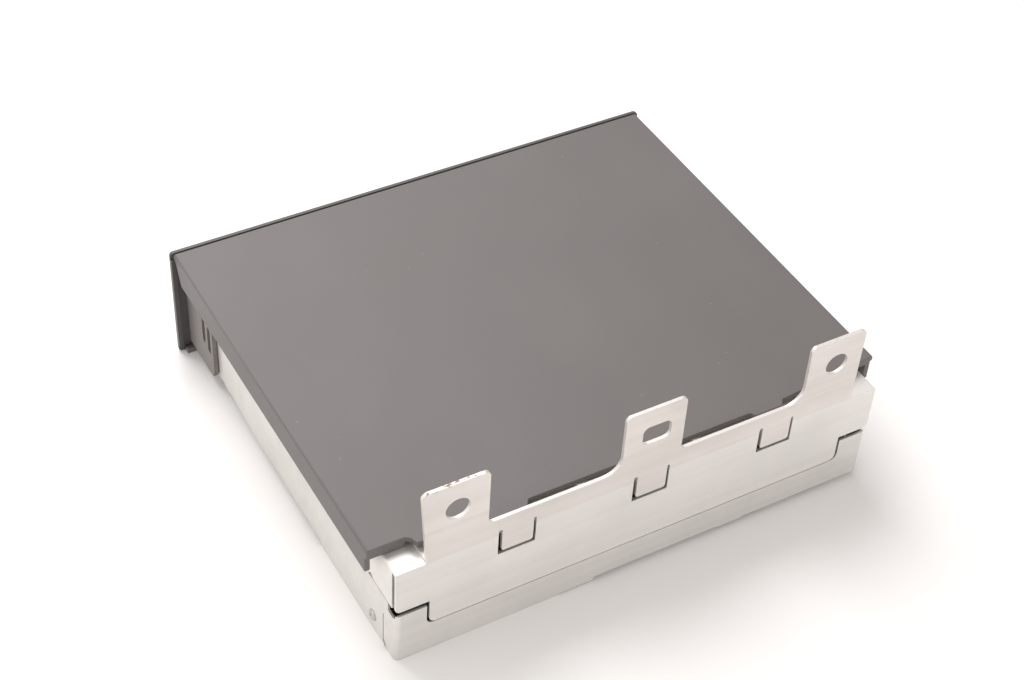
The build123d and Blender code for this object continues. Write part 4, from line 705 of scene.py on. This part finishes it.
class CoilTree:
    """Geometry Nodes tree of a coil spring round Z, from its turns, radius, height and wire."""

    def __init__(self) -> None:
        """Build the tree."""
        self.group = bpy.data.node_groups.new("coil", "GeometryNodeTree")
        face = self.group.interface
        face.new_socket("Start", in_out="INPUT", socket_type="NodeSocketGeometry")
        names = ("Turns", "Radius", "Height", "Wire")
        self.inputs = {name: face.new_socket(name, in_out="INPUT", socket_type="NodeSocketFloat").identifier
                       for name in names}
        self.finish = face.new_socket("Finish", in_out="INPUT", socket_type="NodeSocketMaterial").identifier
        self.centre = face.new_socket("Centre", in_out="INPUT", socket_type="NodeSocketVector").identifier
        face.new_socket("Result", in_out="OUTPUT", socket_type="NodeSocketGeometry")
        add, wire = self.group.nodes.new, self.group.links.new
        source = add("NodeGroupInput")
        spiral = add("GeometryNodeCurveSpiral")
        spiral.inputs["Resolution"].default_value = 28
        section = add("GeometryNodeCurvePrimitiveCircle")
        section.inputs["Resolution"].default_value = 8
        tube = add("GeometryNodeCurveToMesh")
        tube.inputs["Fill Caps"].default_value = True
        move = add("GeometryNodeTransform")
        real = add("GeometryNodeRealizeInstances")
        paint = add("GeometryNodeSetMaterial")
        result = add("NodeGroupOutput")
        wire(source.outputs["Turns"], spiral.inputs["Rotations"])
        wire(source.outputs["Radius"], spiral.inputs["Start Radius"])
        wire(source.outputs["Radius"], spiral.inputs["End Radius"])
        wire(source.outputs["Height"], spiral.inputs["Height"])
        wire(source.outputs["Wire"], section.inputs["Radius"])
        wire(spiral.outputs["Curve"], tube.inputs["Curve"])
        wire(section.outputs["Curve"], tube.inputs["Profile Curve"])
        wire(tube.outputs["Mesh"], move.inputs["Geometry"])
        wire(source.outputs["Centre"], move.inputs["Translation"])
        wire(move.outputs["Geometry"], real.inputs["Geometry"])
        wire(real.outputs["Geometry"], paint.inputs["Geometry"])
        wire(source.outputs["Finish"], paint.inputs["Material"])
        wire(paint.outputs["Geometry"], result.inputs["Result"])


@dataclass
class Suspension:
    """Springs round the rubber mounts under the mechanism."""

    finishes: Finishes
    side_x: float = 80.0
    backs: tuple[float, ...] = (22.0, 88.0)
    top: float = 8.65
    radius: float = 5.6
    wire: float = 0.3
    turns: float = 5.0
    floor: float = 2.8
    foot_floor: float = 0.8

    def build(self) -> list[bpy.types.Object]:
        """Build the four springs as one piece."""
        tree = CoilTree()
        wire_finish = self.finishes.by_slot["spring_steel"]
        joined = bmesh.new()
        for x in (self.side_x, -self.side_x):
            for place in self.backs:
                on_foot = x > 0 and place == self.backs[0]
                bottom = (self.foot_floor if on_foot else self.floor) + self.wire + 0.05
                joined.from_mesh(self.coil(tree, wire_finish, (x, REAR - place, bottom), self.top - bottom))
        mesh = bpy.data.meshes.new("springs")
        joined.to_mesh(mesh)
        joined.free()
        return [settle(new_piece("springs", mesh, wire_finish), "suspension_springs", True)]

    def coil(self, tree: CoilTree, material: bpy.types.Material, start: Point, height: float) -> bpy.types.Mesh:
        """Make one spring.

        Args:
            tree: the coil tree.
            material: finish of the wire.
            start: middle of its lowest turn, in millimetres.
            height: distance from its lowest to its highest turn.

        Returns:
            Its mesh, in place.
        """
        holder = bpy.data.objects.new("coil_holder", bpy.data.meshes.new("coil_start"))
        bpy.context.scene.collection.objects.link(holder)
        modifier = holder.modifiers.new("coil", "NODES")
        modifier.node_group = tree.group
        sizes = {"Turns": self.turns, "Radius": self.radius * MM, "Height": height * MM, "Wire": self.wire * MM}
        for name, value in sizes.items():
            modifier[tree.inputs[name]] = value
        modifier[tree.finish] = material
        modifier[tree.centre] = mm(*start)
        shaped = holder.evaluated_get(bpy.context.evaluated_depsgraph_get())
        mesh = bpy.data.meshes.new_from_object(shaped)
        holder.modifiers.remove(modifier)
        bpy.data.objects.remove(holder)
        return mesh


# ------------------------------------------------------------------ sub-assemblies
@dataclass
class Shell:
    """Case, lid, bracket, cover and shutter; the bezel, whose face has many openings, keeps its own mesh."""

    finishes: Finishes
    edges: dict[str, float] = field(default_factory=lambda: {
        "lower_case": 0.22, "top_lid": 0.22, "rear_bracket": 0.28, "top_cover": 0.35, "slot_shutter": 0.15,
    })

    def build(self) -> list[bpy.types.Object]:
        """Build the rounded copies."""
        return [RoundedCopy(node, self.finishes, width).build() for node, width in self.edges.items()]


@dataclass
class FrontKeys:
    """Keys of the front panel with their numbers and arrows."""

    finishes: Finishes
    number_x: tuple[float, ...] = (-47.5, -28.5, -9.5, 9.5, 28.5, 47.5)
    number_z: float = 11.0
    end_x: float = 78.5
    end_z: float = 27.0
    face_y: float = -83.97
    sunk: float = 0.25

    def build(self) -> list[bpy.types.Object]:
        """Build the caps and what is printed on them."""
        made = []
        for index, x in enumerate(self.number_x):
            node = f"key_{index + 1}"
            made.append(DishedKey(node, self.finishes, 0.12).build())
            made.append(settle(self.number(str(index + 1), x), node, False))
        for node, x, down in (("load_key", self.end_x, True), ("eject_key", -self.end_x, False)):
            made.append(DishedKey(node, self.finishes, 0.12).build())
            made.append(settle(self.arrow(node, x, down), node, False))
        return made

    def number(self, text: str, x: float) -> bpy.types.Object:
        """Make one numeral that lies in a key's dish."""
        curve = bpy.data.curves.new(f"numeral_{text}", "FONT")
        curve.body = text
        curve.size = 4.0 * MM
        curve.align_x = "CENTER"
        curve.align_y = "CENTER"
        curve.extrude = self.sunk / 2 * MM
        holder = bpy.data.objects.new(curve.name, curve)
        bpy.context.scene.collection.objects.link(holder)
        mesh = bpy.data.meshes.new_from_object(holder.evaluated_get(bpy.context.evaluated_depsgraph_get()))
        bpy.data.objects.remove(holder)
        turn = Matrix.Rotation(math.radians(90), 4, "X")
        mesh.transform(Matrix.Translation(mm(x, self.face_y + self.sunk / 2, self.number_z)) @ turn)
        return new_piece(f"numeral_{text}", mesh, self.finishes.print)

    def arrow(self, node: str, x: float, down: bool) -> bpy.types.Object:
        """Make the arrow and bar of a load or eject key.

        Args:
            node: the key.
            x: middle of the key.
            down: whether the arrow points down.

        Returns:
            The mark, in the key's dish.
        """
        sign = -1.0 if down else 1.0
        mark = bmesh.new()
        outlines = (((-2.2, -0.3), (2.2, -0.3), (0.0, 2.1)), ((-2.2, -1.5), (2.2, -1.5), (2.2, -0.8), (-2.2, -0.8)))
        for outline in outlines:
            flat = [mark.verts.new(mm(x + u, self.face_y, self.end_z + sign * v)) for u, v in outline]
            face = mark.faces.new(flat)
            grown = bmesh.ops.extrude_face_region(mark, geom=[face])
            moved = [item for item in grown["geom"] if isinstance(item, bmesh.types.BMVert)]
            bmesh.ops.translate(mark, verts=moved, vec=mm(0, self.sunk, 0))
        bmesh.ops.recalc_face_normals(mark, faces=mark.faces)
        mesh = bpy.data.meshes.new(f"{node}_mark")
        mark.to_mesh(mesh)
        mark.free()
        return new_piece(f"{node}_mark", mesh, self.finishes.print)


@dataclass
class Electronics:
    """Leads of the packages on the main board."""

    finishes: Finishes
    board_x: float = -82.8
    chips: tuple[tuple[float, float, float, float], ...] = (
        (84.0, 27.0, 16.0, 16.0), (62.0, 29.0, 12.0, 8.0), (40.0, 31.0, 14.0, 8.0), (16.0, 30.0, 8.0, 10.0))
    pitch: float = 1.27

    def build(self) -> list[bpy.types.Object]:
        """Build the leads along the long sides of the packages."""
        places = []
        for place, z, length, height in self.chips:
            count = int((length - 2.0) / self.pitch)
            for k in range(count):
                y = REAR - place + (k - (count - 1) / 2) * self.pitch
                for side in (-1, 1):
                    places.append(((self.board_x, y, z + side * (height / 2 + 0.6)), (1.0, 0.0, 0.0)))
        lead = bmesh.new()
        bmesh.ops.create_cube(lead, size=1.0, matrix=Matrix.Translation(mm(0, 0, 0.3)) @ Matrix.Diagonal(
            (1.1 * MM, 0.45 * MM, 0.6 * MM, 1.0)))
        mesh = bpy.data.meshes.new("lead")
        lead.to_mesh(mesh)
        lead.free()
        piece = StampTree("leads").place("package_leads", places, mesh, self.finishes.by_slot["shaft_steel"])
        return [settle(piece, "board_components", False)]


@dataclass
class Mechanism:
    """Frame nodes that keep their shape and get their finish."""

    finishes: Finishes

    def dress(self) -> list[str]:
        """Dress every frame node, also those that another piece stands for."""
        for node in frame["nodes"]:
            self.finishes.dress(node)
        return sorted(frame["nodes"])


# ------------------------------------------------------------------ studio
@dataclass
class Studio:
    """Pale floor, soft light and the photograph's camera."""

    lens: float = 68.078
    place: Point = (263.928, 423.221, 495.011)
    right: Point = (-0.87172973, 0.48787731, 0.04542031)
    down: Point = (0.30369636, 0.61072052, -0.73129267)
    forward: Point = (-0.38452022, -0.62369558, -0.6805498)
    floor_colour: Colour = (0.93, 0.91, 0.90)
    floor_half: float = 3.0  # metres

    def build(self) -> None:
        """Build floor, light and camera."""
        self.floor()
        self.world()
        self.lamp("front_soft", (60, -520, 820), (0, 0, 0), 700, 8.6)
        self.lamp("left_soft", (750, -60, 420), (0, 0, 20), 600, 1.6)
        self.lamp("rear_fill", (60, 860, 260), (0, 84, 30), 700, 2.0)
        self.camera()
        bpy.context.scene.view_settings.view_transform = "Standard"

    def floor(self) -> None:
        """Lay the floor."""
        ground = bmesh.new()
        half = self.floor_half
        outline = ((-half, -half), (half, -half), (half, half), (-half, half))
        ground.faces.new([ground.verts.new((x, y, 0.0)) for x, y in outline])
        mesh = bpy.data.meshes.new("floor")
        ground.to_mesh(mesh)
        ground.free()
        recipe = Recipe("floor_paper", "floor")
        cloud = recipe.noise(4.0, 2.0)
        recipe.colour(recipe.mix(cloud, self.floor_colour, tuple(c * 0.99 for c in self.floor_colour)))
        recipe.shader.inputs["Roughness"].default_value = 0.9
        recipe.shader.inputs["Specular IOR Level"].default_value = 0.1
        new_piece("floor", mesh, recipe.material)

    def world(self) -> None:
        """Light the scene evenly, with a white background."""
        world = bpy.data.worlds.new("soft_box")
        world.use_nodes = True
        background = world.node_tree.nodes["Background"]
        background.inputs["Color"].default_value = (1.0, 0.96, 0.935, 1.0)
        background.inputs["Strength"].default_value = 0.58
        bpy.context.scene.world = world

    def lamp(self, name: str, place: Point, target: Point, size: float, power: float) -> None:
        """Hang a square soft lamp.

        Args:
            name: name of the lamp.
            place: its middle, in millimetres.
            target: point that it faces, in millimetres.
            size: its side, in millimetres.
            power: its power in watts.
        """
        light = bpy.data.lights.new(name, "AREA")
        light.shape = "SQUARE"
        light.size = size * MM
        light.energy = power
        holder = bpy.data.objects.new(name, light)
        bpy.context.scene.collection.objects.link(holder)
        way = mm(*target) - mm(*place)
        holder.matrix_world = Matrix.Translation(mm(*place)) @ way.to_track_quat("-Z", "Y").to_matrix().to_4x4()

    def camera(self) -> None:
        """Set up the camera at the photograph's viewpoint."""
        eye = bpy.data.cameras.new("camera")
        eye.lens = self.lens
        eye.sensor_width = 36.0
        eye.clip_start = 0.01
        holder = bpy.data.objects.new("camera", eye)
        bpy.context.scene.collection.objects.link(holder)
        axes = (Vector(self.right), -Vector(self.down), -Vector(self.forward))
        turn = Matrix([list(axis) for axis in axes]).transposed()
        holder.matrix_world = Matrix.Translation(mm(*self.place)) @ turn.to_4x4()
        bpy.context.scene.camera = holder


def main() -> None:
    """Build every sub-assembly in order."""
    logging.basicConfig(level=logging.INFO, format="%(name)s: %(message)s")
    finishes = Finishes()
    log.info("dressed %d frame nodes", len(Mechanism(finishes).dress()))
    for assembly in (Shell(finishes), FrontKeys(finishes), Fasteners(finishes), Suspension(finishes),
                     Electronics(finishes)):
        pieces = assembly.build()
        log.info("%s: %d pieces", type(assembly).__name__, len(pieces))
    Studio().build()


if __name__ == "__main__":
    main()
